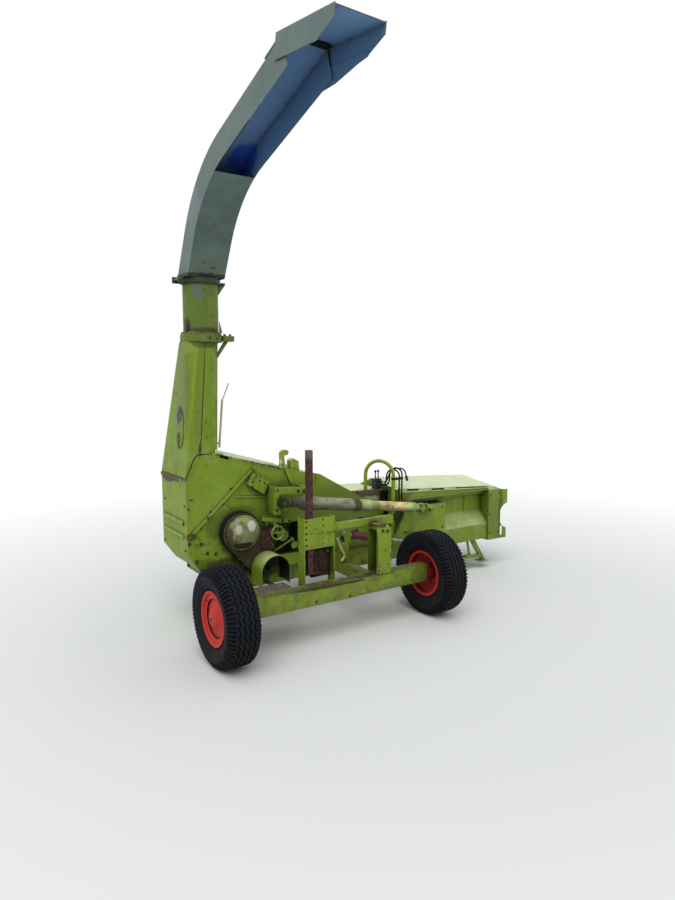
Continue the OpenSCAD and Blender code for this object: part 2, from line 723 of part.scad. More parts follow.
// Sheet channel that leads the crop from the header to the feed rolls
module feed_channel() {
    y1 = feed_rear + feed_w;
    color("#79942d") place() {
        for (y = [feed_rear, y1 - sheet])
            plate_xz(concat(feed_top(), reversed(feed_low())), y, y + sheet);
        plate_xz([[rail_right_x + tube_w / 2 + 1, deck_z + 1], [900, 471], [feed_right, 501],
            [feed_right, 400], [rail_right_x + tube_w / 2 + 1, 400]], feed_rear, feed_rear + sheet);
        plate_xz([[320, 1150], [320, feed_top_z(320) - 20], [332, feed_top_z(332) - 20], [332, 1150]],
            feed_rear - 8, feed_rear);
        plate_xz(concat(feed_top(), reversed([for (p = feed_top()) p - [0, sheet]])),
            feed_rear, y1);
        plate_xz(concat(feed_low(), reversed([for (p = feed_low()) p + [0, sheet]])),
            feed_rear, y1);
    }
}

// Folded lid and spring brackets on the feed channel
module channel_lid() {
    xs = [752, 900, feed_right];
    y0 = feed_rear + 20;
    y1 = feed_rear + feed_w - 20;
    color("#a9bb7d") place() {
        plate_xz(concat([for (x = xs) [x, feed_top_z(x) + run_gap]],
            [[feed_right, lid_top(feed_right)], [752, lid_top(752)]]), y0, y1);
        for (x = [830, 1060]) block([x, y0 - 8, lid_top(x) - 46], [x + 30, y0, lid_top(x) - 4]);
    }
}

// Bent tube that carries the hoses
module hose_hoop() {
    tube = 18;
    left = [944, feed_rear + 42];
    right = [1110, 659.3];
    r = norm(right - left) / 2;
    z = 1177;
    arm_y = 640;
    color("#7c9a35") place() {
        translate([(left[0] + right[0]) / 2, (left[1] + right[1]) / 2, z])
            rotate([0, 0, atan2(right[1] - left[1], right[0] - left[0])]) rotate([90, 0, 0])
                rotate_extrude(angle = 180, $fn = 64) translate([r, 0]) circle(tube, $fn = 24);
        rod_z(tube + 1, lid_top(left[0] - tube - 1) + 0.1, z + 6, left[0], left[1], 32);
        rod_z(tube + 1, 520, z + 6, right[0], right[1], 32);
        block([right[0] - 20, arm_y, 500], [right[0] + 20, right[1], 570]);
    }
}

// Valve block with two levers beside the hoop
module valve_levers() {
    x0 = 1062;
    x1 = 1138;
    color("#2c2d2a") place() {
        plate_xz([[x0, lid_top(x0) + run_gap], [x1, lid_top(x1) + run_gap], [x1, 1118], [x0, 1118]],
            feed_rear + 24, feed_rear + 92);
        for (x = [x0 + 20, x1 - 20]) {
            rod_z(6, 1118, 1190, x, feed_rear + 58, 24);
            translate([x, feed_rear + 58, 1196]) sphere(r = 13, $fn = 24);
        }
    }
}

// Right edge of the tower at a height
function tower_edge(z) = tower_right() + (neck_x - 25 + neck_r - tower_right())
    * (z - tower_z) / (tower_top - tower_z);

// Thin rod that turns the spout from the tractor's side
module turning_rod() {
    x = tower_edge(1612) + 34;
    y = neck_y - 105;
    color("#d6d2bd") place() {
        strut([x - 8, y, 1568], [x + 26, y, 1975], 9);
        strut([x + 26, y, 1965], [x + 88, y, 2112], 5);
        block([tower_edge(1612) + run_gap, y - 12, 1600], [x, y + 12, 1612]);
    }
}

// Angle box on the hinge line, its boss with the rear hinge pin, and the arm that carries it
module hinge_box() {
    arm_y = 600;
    rear_y = feed_rear - tube_w - 20;
    box_z = hinge_z - 39 * tan(shaft_a);
    color("#7d9433") place() {
        difference() {
            block([hinge_x + 4, shaft_y - 38, box_z - 38], [hinge_x + 74, shaft_y + 38, box_z + 38]);
            shaft_line() translate([0, 0, shaft_l - 20]) cylinder(r = stub_d() + run_gap, h = 84,
                $fn = 48);
        }
        rod_y(34, shaft_y + 38, house_rear - 20, hinge_x, hinge_z);
        rod_y(hinge_r, house_rear - 20, house_rear + 20, hinge_x, hinge_z);
        plate_xz([[1040, deck_z - tube_h], [feed_right, deck_z - tube_h], [hinge_x + 34, 808],
            [hinge_x + 34, hinge_z + 30], [hinge_x - 34, hinge_z + 30], [1040, deck_z]],
            arm_y, arm_y + 40);
        block([1050, arm_y + 40, deck_z - tube_h], [feed_right, rear_y, deck_z]);
        rod_x(20, hinge_x + 74, hinge_x + 96, shaft_y, box_z, 32);
        rod_x(34, hinge_x + 96, hinge_x + 118, shaft_y, box_z, 32);
    }
}

// Front arm with the front hinge pin
module front_hinge_arm() {
    y0 = front_y + tube_w / 2;
    color("#7d9433") place() {
        plate_xz([[1000, deck_z - tube_h], [feed_right, deck_z - tube_h], [hinge_x + 56, 820],
            [hinge_x + 56, hinge_z + 50], [hinge_x - 50, hinge_z + 50], [1000, deck_z]],
            y0, y0 + 20);
        rod_y(hinge_r, y0 - 40, y0, hinge_x, hinge_z);
    }
}

// Tyre outline: radius against the distance from the wheel's middle, one half
function tyre_half() = [[rim_d / 2 + 15, 84], [rim_d / 2 + 32, tyre_w / 2 - 24],
    [wheel_r - 88, tyre_w / 2], [wheel_r - 50, tyre_w / 2 - 3], [wheel_r - 20, tyre_w / 2 - 18],
    [wheel_r - 5, tyre_w / 2 - 40]];

module tyre(x) {
    half = tyre_half();
    grooves = [[-66, 11], [-23, 11], [23, 11], [66, 11]];
    notches = 56;
    color("#1d1d1f") place() translate([x, 0, wheel_z]) rotate([0, 90, 0]) difference() {
        rotate_extrude($fn = 96) difference() {
            polygon(concat([[rim_d / 2 + run_gap, -80], [rim_d / 2 + run_gap, 80]], half,
                [[wheel_r, 70], [wheel_r, -70]], reversed([for (p = half) [p[0], -p[1]]])));
            for (g = grooves) translate([wheel_r - 12, g[0] - g[1] / 2]) square([20, g[1]]);
        }
        for (i = [0:notches - 1], side = [0, 1]) rotate([0, 0, (i + side / 2) * 360 / notches])
            translate([wheel_r - 22, -5, side == 0 ? 84 : -tyre_w / 2 - 1])
                cube([30, 10, tyre_w / 2 - 83]);
    }
}

// A turned shape about Z
module turned(points) {
    rotate_extrude($fn = 96) polygon(points);
}

// Dished rim with its flanges and hub, side tells which way the dish faces
module rim(x, side) {
    r = rim_d / 2;
    color("#c4302b") place() translate([x, 0, wheel_z]) rotate([0, side * 90, 0]) difference() {
        union() {
            turned([[r - 12, -92], [r + 14, -92], [r + 14, -84.3], [r, -84.3], [r, 84.3],
                [r + 14, 84.3], [r + 14, 92], [r - 12, 92]]);
            turned([[58, 20], [110, 20], [r - 8, -30], [r - 8, -40], [106, 10], [58, 10]]);
            turned([[stub_r + run_gap, -hub_half], [62, -hub_half], [62, 30], [44, 42], [0, 42],
                [0, 33], [stub_r + run_gap, 33]]);
        }
        for (i = [0:5]) rotate([0, 0, i * 60]) translate([85, 0, 0]) cylinder(r = 8, h = 40, $fn = 24);
    }
}

module left_tyre() {
    tyre(-track / 2);
}

module left_rim() {
    rim(-track / 2, -1);
}

module right_tyre() {
    tyre(track / 2);
}

module right_rim() {
    rim(track / 2, 1);
}

// Radius of the cross shaft's ends in their bearings
function stub_d() = 25;

// Line of the cross shaft, from the feed gearbox to the hinge box
module shaft_line() {
    translate([shaft_x0(), shaft_y, shaft_z]) rotate([0, 90 + shaft_a, 0]) children();
}

// Telescopic cross shaft in its tube, one turned shape about its own axis
module cross_shaft() {
    s1 = shaft_l - 2;
    profile = [[0, -174], [stub_d(), -174], [stub_d(), -148], [44, -148], [44, -124], [27, -116],
        [27, -104], [44, -96], [44, -76], [32, -70], [64, 20], [69, 34], [69, 58], [62, 66],
        [61, 190], [shaft_r, 196], [shaft_r, 560],
        [shaft_r + 4, 564], [shaft_r + 4, 620], [shaft_r, 624], [shaft_r, 760],
        [shaft_thin_r, 770], [shaft_thin_r, s1 - 48], [32, s1 - 40], [32, s1],
        [stub_d(), s1], [stub_d(), shaft_l + 60], [0, shaft_l + 60]];
    color("#a9b489") place() shaft_line() rotate_extrude($fn = 64) polygon(profile);
}

// Header's rear sheet, trough, end plate at the left, top tube and lift lug
module header_frame() {
    y0 = house_rear;
    recess = 120;
    back = [[y0 + recess, 940], [y0 + recess, 662], [y0, 516], [y0, head_low]];
    panel_top = 821;
    trough_r = auger_r + 28;
    left_side = [[y0, head_low], [y0, 1020], [y0 + 440, 1090], [front_y - 20, 960],
        [front_y - 20, 600], [reel_y + 45, 540], [reel_y + 45, 455], [reel_y - 60, 430],
        [y0 + 560, 430], [y0 + 360, head_low]];
    color("#7f9a2e") place() {
        plate_yz(concat(back, [for (p = reversed(back)) p + [sheet, 0]]), head_left, head_right);
        block([head_left + sheet, y0, 516], [panel_right(), y0 + sheet, panel_top - sheet]);
        block([head_left + sheet, y0, panel_top - sheet],
            [panel_right(), y0 + recess, panel_top]);
        plate_yz([[y0, 516], [y0, panel_top], [y0 + recess, panel_top], [y0 + recess, 662]],
            panel_right() - sheet, panel_right());
        difference() {
            plate_xz([[head_left + sheet, head_top], [head_right, head_top],
                [head_right, deck_z0(head_right) - 4.1],
                [head_left + sheet, deck_z0(head_left + sheet) - 4.1]],
                y0, y0 + sheet);
            deck_slots(y0 - 1, y0 + sheet + 1);
        }
        plate_xz([[head_left + sheet, head_top - 4], [head_right, head_top - 4],
            [head_right, head_top + 6], [head_left + sheet, head_top + 6]], y0 - 10, y0);
        difference() {
            rod_x(trough_r + sheet, head_left + sheet, head_right, auger_y, auger_z, 96);
            rod_x(trough_r, head_left, head_right + 1, auger_y, auger_z, 96);
            block([head_left, auger_y - 300, auger_z], [head_right + 1, auger_y + 300, auger_z + 300]);
            block([head_left, auger_y + 150, auger_z - 160],
                [head_right + 1, auger_y + 300, auger_z + 300]);
        }
        block([head_left + sheet, auger_y - trough_r - sheet, auger_z],
            [head_right, auger_y - trough_r, auger_z + 70]);
        difference() {
            plate_yz(left_side, head_left, head_left + sheet);
            block([head_left - 1, feed_rear - 10, 470],
                [head_left + sheet + 1, feed_rear + feed_w + 10, 880]);
            rod_x(22 + run_gap, head_left - 1, head_left + sheet + 1, reel_y, reel_z);
        }
        difference() {
            block([head_left, y0, 800], [head_left + 170, y0 + 12, head_top]);
            rod_y(hinge_r + run_gap, y0 - 1, y0 + 13, hinge_x, hinge_z);
        }
        difference() {
            block([head_left + sheet, front_y + 2, 780], [head_left + 170, front_y + 18, 950]);
            rod_y(hinge_r + run_gap, front_y, front_y + 20, hinge_x, hinge_z);
        }
        block([head_left + sheet, front_y - 30, 780], [head_left + sheet + 30, front_y + 2, 950]);
        tube_along_x(head_left + 170, head_right, y0 + recess - 30, head_top - 50, 60, 50, 5);
        tube_along_x(head_left + 170, head_right, y0 + 36, head_low, 60, 60, 5);
        plate_xz([[1345, 420], [1455, 420], [1445, 530], [1355, 530]], lift_y + 26, y0);
        rod_y(lift_pin_r, lift_y - 30, lift_y + 26, lift_lug()[0], lift_lug()[1], 32);
        rod_y(27, lift_y - 34, lift_y - 28, lift_lug()[0], lift_lug()[1], 32);
        block([hinge_x + 180, y0 - 60, hinge_z - 92], [hinge_x + 330, y0, hinge_z - 36]);
        rod_y(26, y0 - 130, y0 - 60, hinge_x + 270, hinge_z - 62, 32);
    }
}

// Right end of the flush panel beside the header's recess
function panel_right() = head_left + 662;
// Height of the deck's rear edge at a place across
function deck_z0(x) = 1033 - (x - head_left) * tan(3.9);

// The three slots under the deck's rear edge
module deck_slots(y0, y1) {
    for (s = [[118, 276, 7, 24], [452, 632, 8, 26], [800, 1296, 6, 17]])
        plate_xz([for (p = [[s[0], s[2]], [s[1], s[2]], [s[1], s[3]], [s[0], s[3]]])
            [head_left + p[0], deck_z0(head_left + p[0]) - p[1]]], y0, y1);
}

// Cover sheet over the auger with its rear fascia
module header_deck() {
    y0 = house_rear - 8;
    rise = 9;
    l = head_right + 30 - head_left - 10;
    color("#b4c68c") place() {
        difference() {
            plate_xz([[head_left + 10, deck_z0(head_left + 10)],
                [head_right + 30, deck_z0(head_right + 30)],
                [head_right + 30, deck_z0(head_right + 30) - 24],
                [head_left + 10, deck_z0(head_left + 10) - 42]], y0, y0 + 5);
            deck_slots(y0 - 1, y0 + 6);
        }
        translate([head_left + 10, y0, deck_z0(head_left + 10) - 5]) rotate([0, 3.9, 0])
            rotate([rise, 0, 0]) cube([l / cos(3.9), 440, 6]);
    }
}

// Drive case at the header's right end with its notched bracket
module end_case() {
    y0 = house_rear - 20;
    notch = [ear_right + 22, 575];
    notch_r = 147;
    color("#6f8a28") place() {
        plate_yz([[y0, head_low - 24], [y0, head_top - 14], [y0 + 420, 950], [y0 + 760, 890],
            [front_y + 40, 640], [front_y + 40, 420], [y0 + 560, 400], [y0 + 300, head_low - 24]],
            head_right, case_right);
        difference() {
            plate_xz([[case_right, head_low - 24], [ear_right - 10, head_low - 30],
                [ear_right - 10, 470], [ear_right, 480], [ear_right, head_top - 26],
                [case_right, head_top - 18]], y0, y0 + 12);
            rod_y(notch_r, y0 - 1, y0 + 13, notch[0], notch[1], 96);
            block([case_right + 1, y0 - 1, head_low], [case_right + 46, y0 + 13, 462]);
        }
        block([case_right, y0 + 12, head_top - 60], [ear_right, y0 + 60, head_top - 50]);
        block([case_right, y0 + 12, head_low - 20], [ear_right - 12, y0 + 60, head_low - 10]);
    }
}

// Points of one turn of the auger's flight
function flight_ring(a, x, r0, r1, t) = [[x, r0 * cos(a), r0 * sin(a)], [x, r1 * cos(a), r1 * sin(a)],
    [x + t, r1 * cos(a), r1 * sin(a)], [x + t, r0 * cos(a), r0 * sin(a)]];

// Helical sheet about the X axis
module flight(length, pitch, r0, r1, t, steps) {
    turns = length / pitch;
    n = round(turns * steps);
    points = [for (i = [0:n]) each flight_ring(360 * turns * i / n, length * i / n, r0, r1, t)];
    sides = [for (i = [0:n - 1], k = [0:3], half = [0, 1])
        let (a = 4 * i + k, b = 4 * i + (k + 1) % 4)
        half == 0 ? [a, b, b + 4] : [a, b + 4, a + 4]];
    polyhedron(points, concat([[3, 2, 1, 0]], sides, [[4 * n, 4 * n + 1, 4 * n + 2, 4 * n + 3]]),
        convexity = 10);
}

// Cross auger that moves the crop to the left
module auger() {
    x0 = head_left + 30;
    x1 = head_right - 10;
    color("#8f8a70") place() {
        rod_x(60, x0, x1, auger_y, auger_z);
        translate([x0 + 5, auger_y, auger_z]) flight(x1 - x0 - 20, 290, 50, auger_r, 6, 18);
        rod_x(24, x1, head_right - run_gap, auger_y, auger_z);
    }
}

// Tined reel of the pick-up
module reel() {
    x0 = head_left + 190;
    x1 = head_right - 20;
    bar_r = 120;
    color("#6d7a3c") place() translate([0, reel_y, reel_z]) {
        rod_x(45, x0, x1, 0, 0);
        rod_x(22, x1, head_right - run_gap, 0, 0, 32);
        rod_x(22, head_left - 4, x0, 0, 0, 32);
        for (x = [x0, (x0 + x1) / 2, x1 - 8]) rod_x(bar_r + 14, x, x + 8, 0, 0);
        for (i = [0:reel_bars - 1]) rotate([i * 360 / reel_bars, 0, 0]) {
            rod_x(12, x0, x1, 0, bar_r, 24);
            for (k = [0:reel_tines - 1])
                rod_z(4, bar_r, reel_r, x0 + 30 + k * (x1 - x0 - 60) / (reel_tines - 1), 0, 16);
        }
    }
}

// Stand with its foot under the header's right half
module header_stand() {
    x = head_left + 1090;
    y0 = house_rear + 34;
    color("#7d9433") place() {
        plate_xz([[x - 6, head_low], [x + 62, head_low], [x + 238, 84], [x + 182, 84]], y0, y0 + 24);
        plate_xz([[x - 66, 176], [x - 66, 140], [x + 172, 122], [x + 150, 156]], y0 - 14, y0 + 40);
        block([x + 130, y0 - 40, 76], [x + 262, y0 + 70, 84]);
        plate_xz([[x - 60, head_low], [x - 34, head_low], [x + 6, 170], [x - 20, 170]],
            y0 + 4, y0 + 16);
    }
}

// Frame of the lift cylinder: its axis lies along the line from the eye to the lug
module lift_place() {
    place() translate([lift_eye()[0], lift_y, lift_eye()[1]]) rotate([0, 90 + lift_a, 0]) children();
}

module lift_barrel() {
    barrel_l = 440;
    color("#b3362f") lift_place() difference() {
        union() {
            translate([0, 0, 72]) cylinder(r = lift_r, h = barrel_l - 100, $fn = 48);
            translate([0, 0, barrel_l - 28]) cylinder(r = lift_r + 5, h = 34, $fn = 48);
            translate([0, 24, 0]) rotate([90, 0, 0]) cylinder(r = 30, h = 48, $fn = 48);
            translate([0, 0, 20]) cylinder(r = 22, h = 52, $fn = 48);
        }
        translate([0, 0, 90]) cylinder(r = lift_rod_r + run_gap, h = barrel_l, $fn = 48);
        translate([0, 25, 0]) rotate([90, 0, 0])
            cylinder(r = lift_pin_r + run_gap, h = 50, $fn = 32);
    }
}

module lift_rod() {
    drift = 3;
    color("#c9ccd0") lift_place() {
        difference() {
            union() {
                translate([0, 0, 300]) cylinder(r = lift_rod_r, h = lift_len - 328, $fn = 48);
                translate([0, 22, lift_len]) rotate([90, 0, 0]) cylinder(r = 34, h = 44, $fn = 48);
                translate([0, 0, lift_len - 66]) cylinder(r = 26, h = 40, $fn = 48);
            }
            translate([0, 23, lift_len]) rotate([90, 0, 0])
                cylinder(r = lift_pin_r + drift, h = 46, $fn = 32);
        }
    }
}

// Drawbar with its swing pin, hitch eye and the tube of the parking jack
module drawbar() {
    z0 = deck_z - tube_h + 6 + 14 + 0.5;
    z1 = deck_z - 6 - 14 - 0.5;
    mid = (z0 + z1) / 2;
    eye_y = swing_y + drawbar_l;
    jack_x = jack_place()[0];
    jack_y = jack_place()[1];
    color("#7f9a2e") place() {
        difference() {
            union() {
                plate_xy([[swing_x - 50, swing_y - 45], [swing_x + 50, swing_y - 45],
                    [swing_x + 50, swing_y + 120], [swing_x + 26, eye_y - 30],
                    [swing_x - 26, eye_y - 30], [swing_x - 50, swing_y + 120]], z0, z1);
                rod_z(hitch_eye_r(), mid - hitch_t / 2, mid + hitch_t / 2, swing_x, eye_y);
            }
            rod_z(hitch_r, mid - hitch_t, mid + hitch_t, swing_x, eye_y);
            block([swing_x - 60, eye_y - 50, mid + hitch_t / 2], [swing_x + 60, eye_y + 60, z1 + 1]);
            block([swing_x - 60, eye_y - 50, z0 - 1], [swing_x + 60, eye_y + 60, mid - hitch_t / 2]);
        }
        rod_z(20 - run_gap, deck_z - tube_h, z0, swing_x, swing_y);
        rod_z(20 - run_gap, z1, deck_z - 6 + run_gap, swing_x, swing_y);
        rod_z(30, deck_z - 6 + run_gap, deck_z + 2, swing_x, swing_y);
        difference() {
            union() {
                rod_z(38, 240, 700, jack_x, jack_y);
                block([jack_x, jack_y - 30, 380], [swing_x - 30, jack_y + 30, 420]);
            }
            rod_z(30, 239, 690, jack_x, jack_y);
        }
    }
}

function jack_place() = [swing_x - 120, swing_y + 260];

// Sliding leg of the parking jack with its foot
module jack_leg() {
    x = jack_place()[0];
    y = jack_place()[1];
    color("#8c8f90") place() {
        rod_z(30 - run_gap, 12, 430, x, y);
        block([x - 75, y - 75, 0], [x + 75, y + 75, 12]);
    }
}

// Guard round the input stub
module pto_guard() {
    color("#d8b12a") place() translate([drum_x, house_front + 40, drum_z]) rotate([-90, 0, 0])
        rotate_extrude($fn = 64) polygon([[70, 0], [88, 0], [88, 8], [94, 120], [90, 120], [84, 6],
            [70, 6]]);
}

// Input stub with its shaft
module pto_stub() {
    color("#b9bcbf") place() {
        rod_y(pto_r, house_front + 40 + 6, house_front + 150, drum_x, drum_z);
        rod_y(30, house_front + 40 + run_gap, house_front + 60, drum_x, drum_z);
    }
}

axle_beam();
frame_rails();
holed_bracket();
bracket_block();
parking_post();
right_post();
lift_bracket();
step_plate();
chopper_housing();
housing_ribs();
tower();
tower_hatch();
turntable_ring();
hub_dome();
gear_case();
shaft_hood();
feed_gearbox();
feed_channel();
channel_lid();
hose_hoop();
valve_levers();
turning_rod();
hinge_box();
front_hinge_arm();
left_tyre();
left_rim();
right_tyre();
right_rim();
cross_shaft();
spout_neck();
spout_duct();
end_flap();
header_frame();
header_deck();
end_case();
auger();
reel();
header_stand();
lift_barrel();
lift_rod();
drawbar();
jack_leg();
pto_guard();
pto_stub();
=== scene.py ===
"""Forage harvester: weathered enamel, ribbed tyres, bolts, belts, hoses and fittings round the
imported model."""
import math

import bmesh
import bpy
import numpy as np
from bpy.props import FloatProperty, FloatVectorProperty, IntProperty, PointerProperty
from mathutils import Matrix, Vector


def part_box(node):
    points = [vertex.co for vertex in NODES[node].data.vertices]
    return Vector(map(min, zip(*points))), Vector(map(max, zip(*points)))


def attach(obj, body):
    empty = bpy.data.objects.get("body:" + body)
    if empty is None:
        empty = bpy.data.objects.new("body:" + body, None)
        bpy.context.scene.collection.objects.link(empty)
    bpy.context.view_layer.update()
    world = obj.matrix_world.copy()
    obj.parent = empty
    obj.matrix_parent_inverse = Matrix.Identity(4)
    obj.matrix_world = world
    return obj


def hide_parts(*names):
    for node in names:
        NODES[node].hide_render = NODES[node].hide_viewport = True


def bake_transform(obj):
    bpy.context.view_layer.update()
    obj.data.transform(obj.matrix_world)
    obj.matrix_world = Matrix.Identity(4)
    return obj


bl_info = {
    "name": "Forage harvester",
    "version": (1, 0, 0),
    "blender": (4, 5, 0),
    "location": "View3D > Sidebar > Harvester",
    "description": "Dresses the packed forage harvester and sets it on a studio floor",
    "category": "Object",
}

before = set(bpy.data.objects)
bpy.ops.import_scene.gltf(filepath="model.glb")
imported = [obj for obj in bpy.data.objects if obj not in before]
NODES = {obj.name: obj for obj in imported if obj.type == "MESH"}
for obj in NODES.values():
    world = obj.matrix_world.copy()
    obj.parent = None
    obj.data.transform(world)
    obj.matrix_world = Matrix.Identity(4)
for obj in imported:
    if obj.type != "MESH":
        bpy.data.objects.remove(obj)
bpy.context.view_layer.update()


def centre_of(name):
    """Middle of a node's box."""
    low, high = (np.array(corner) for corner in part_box(name))
    return (low + high) / 2


# The machine's own zero: on the ground under the middle of the axle beam
ZERO = centre_of("axle_beam") * [1, 1, 0]


def at(x, y, z):
    """Millimetres from the machine's zero, as metres in the frame."""
    return ZERO + np.array([x, y, z]) / 1000


def all_at(points):
    """Rows of millimetres from the machine's zero, as metres in the frame."""
    return ZERO + np.asarray(points, float) / 1000


def low_high(name):
    """Lowest and highest corner of a node, in millimetres from the machine's zero."""
    low, high = (np.array(corner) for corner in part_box(name))
    return (low - ZERO) * 1000, (high - ZERO) * 1000


def linear(text):
    """An sRGB hex colour as linear red, green and blue."""
    part = np.array([int(text[i:i + 2], 16) for i in (1, 3, 5)]) / 255
    return tuple(np.where(part <= 0.04045, part / 12.92, ((part + 0.055) / 1.055) ** 2.4))


# ---- user's settings


class HarvesterSizes(bpy.types.PropertyGroup):
    rib_depth: FloatProperty(
        name="Groove depth", description="Depth of the tyres' grooves", default=0.011,
        min=0.004, max=0.012, unit="LENGTH")
    rib_wave: FloatProperty(
        name="Groove wave", description="Half width of the grooves' zigzag", default=0.0095,
        min=0, max=0.0095, unit="LENGTH")
    tread_pitches: IntProperty(
        name="Tread pitches", description="Zigzags round one tyre", default=38, min=24, max=56)
    bolt_head: FloatProperty(
        name="Bolt head", description="Width of a common bolt's head across its flats",
        default=0.019, min=0.012, max=0.03, unit="LENGTH")
    # the band along sheet edges carries wear and a painted highlight
    edge_wear_and_highlight: FloatProperty(
        name="Edge wear", description="Width of the worn band along sheet edges", default=0.005,
        min=0.001, max=0.02, unit="LENGTH")


class HarvesterColours(bpy.types.PropertyGroup):
    enamel: FloatVectorProperty(
        name="Enamel", description="Lime enamel of the body", default=linear("#7f9820"),
        size=3, min=0, max=1, subtype="COLOR")
    # laid on faces that look up, where it is also a painted sky reflection, and on rubbed edges,
    # where it is also a painted highlight
    faded: FloatVectorProperty(
        name="Faded enamel", description="The same enamel bleached by the sun",
        default=linear("#b9c48e"), size=3, min=0, max=1, subtype="COLOR")
    # the spout's enamel, dulled by sap, with its blue cast a painted sky reflection
    shade: FloatVectorProperty(
        name="Dull enamel", description="Enamel of the spout, dulled by sap and rain",
        default=linear("#687a78"), size=3, min=0, max=1, subtype="COLOR")
    lining: FloatVectorProperty(
        name="Lining", description="Dark blue lining sheets inside the spout",
        default=linear("#5f83b0"), size=3, min=0, max=1, subtype="COLOR")
    rim: FloatVectorProperty(
        name="Rim enamel", description="Red enamel of the rims", default=linear("#cf2420"),
        size=3, min=0, max=1, subtype="COLOR")


RIGHT, FRONT, UP = np.eye(3)


# ---- meshes from numpy grids


def grid(points, wrap_rows=False, wrap_columns=False):
    """A surface from a (rows, columns, 3) grid: one quad between each four neighbours.

    A wrapped direction joins its last line to its first.
    """
    rows, columns = points.shape[:2]
    i = np.arange(rows if wrap_rows else rows - 1)[:, None]
    j = np.arange(columns if wrap_columns else columns - 1)[None, :]
    beside, below = (j + 1) % columns, (i + 1) % rows
    faces = np.stack([i * columns + j, i * columns + beside,
                      below * columns + beside, below * columns + j], -1)
    return points.reshape(-1, 3), faces.reshape(-1, 4)


def joined(parts):
    """Several meshes as one: their points stacked, and each one's face numbers moved on."""
    starts = np.cumsum([0] + [len(points) for points, _ in parts[:-1]])
    return (np.concatenate([points for points, _ in parts]),
            np.concatenate([faces + start for (_, faces), start in zip(parts, starts)]))


def repeated(mesh, places):
    """One small mesh at many places: its points added to every place at once."""
    points, faces = mesh
    places = np.asarray(places, float).reshape(-1, 3)
    starts = np.arange(len(places)) * len(points)
    return ((places[:, None] + points[None]).reshape(-1, 3),
            (faces[None] + starts[:, None, None]).reshape(-1, faces.shape[1]))


def across(direction):
    """Two unit vectors square to a direction and to each other."""
    direction = np.asarray(direction, float)
    direction = direction / np.linalg.norm(direction)
    helper = np.array([0, 0, 1.0]) if abs(direction[2]) < 0.9 else np.array([1.0, 0, 0])
    side = np.cross(helper, direction)
    side = side / np.linalg.norm(side)
    return side, np.cross(direction, side)


def turned(profile, origin, axis, sides=48):
    """A profile of (distance along, radius) pairs in millimetres, turned once about an axis.

    Point = origin + distance x axis + radius x (cos a x side + sin a x up).
    """
    axis = np.asarray(axis, float) / np.linalg.norm(axis)
    side, up = across(axis)
    along, radius = np.asarray(profile, float).T[..., None, None] / 1000
    a = np.linspace(0, 2 * np.pi, sides, endpoint=False)[:, None]
    return grid(origin + along * axis + radius * (np.cos(a) * side + np.sin(a) * up),
                wrap_columns=True)


def tube(path, radius, sides=12, helper=(0, 0, 1)):
    """A round bar along a path: a circle square to the path's direction at each of its points,
    with both ends drawn in to a point on the path."""
    path = np.asarray(path, float)
    along = np.gradient(path, axis=0)
    along /= np.linalg.norm(along, axis=1)[:, None]
    side = np.cross(np.asarray(helper, float), along)
    side /= np.linalg.norm(side, axis=1)[:, None]
    up = np.cross(along, side)
    radius = np.broadcast_to(radius, len(path)).astype(float)
    path, side, up = (np.concatenate([v[:1], v, v[-1:]])[:, None] for v in (path, side, up))
    radius = np.concatenate([[0], radius, [0]])[:, None, None]
    a = np.linspace(0, 2 * np.pi, sides, endpoint=False)[:, None]
    return grid(path + radius * (np.cos(a) * side + np.sin(a) * up), wrap_columns=True)


def smooth_path(points, steps=12):
    """A curve through the points: between two of them, the cubic whose slope at each is half
    the step between its neighbours, at evenly spaced shares of the way."""
    p = np.asarray(points, float)
    p = np.concatenate([[2 * p[0] - p[1]], p, [2 * p[-1] - p[-2]]])
    t = np.linspace(0, 1, steps, endpoint=False)[None, :, None]
    a, b, c, d = (p[i:len(p) - 3 + i, None] for i in range(4))
    curve = 0.5 * (2 * b + (c - a) * t + (2 * a - 5 * b + 4 * c - d) * t ** 2
                   + (3 * b - a - 3 * c + d) * t ** 3)
    return np.concatenate([curve.reshape(-1, 3), p[-2:-1]])


def bent_path(corners, radius, steps=10):
    """A line through corners in millimetres, each rounded by a circle's arc of one radius that
    touches both sides: point = middle + (sin((1 - t) x sweep) x start + sin(t x sweep) x end)
    / sin(sweep), with start and end counted from the circle's middle."""
    corners = np.asarray(corners, float)
    rows = [corners[:1]]
    t = np.linspace(0, 1, steps)[:, None]
    for before, corner, after in zip(corners, corners[1:], corners[2:]):
        u = (before - corner) / np.linalg.norm(before - corner)
        v = (after - corner) / np.linalg.norm(after - corner)
        half = math.acos(float(u @ v)) / 2
        sweep = math.pi - 2 * half
        middle = corner + (u + v) / np.linalg.norm(u + v) * radius / math.sin(half)
        start = corner + u * radius / math.tan(half) - middle
        end = corner + v * radius / math.tan(half) - middle
        rows.append(middle + (np.sin((1 - t) * sweep) * start + np.sin(t * sweep) * end)
                    / math.sin(sweep))
    return np.concatenate([*rows, corners[-1:]])


def even_path(points, step):
    """The points of a line at even distances of about a step along it."""
    points = np.asarray(points, float)
    run = np.concatenate([[0], np.cumsum(np.linalg.norm(np.diff(points, axis=0), axis=1))])
    places = np.linspace(0, run[-1], max(int(run[-1] / step), 2) + 1)
    return np.stack([np.interp(places, run, points[:, k]) for k in range(3)], -1)


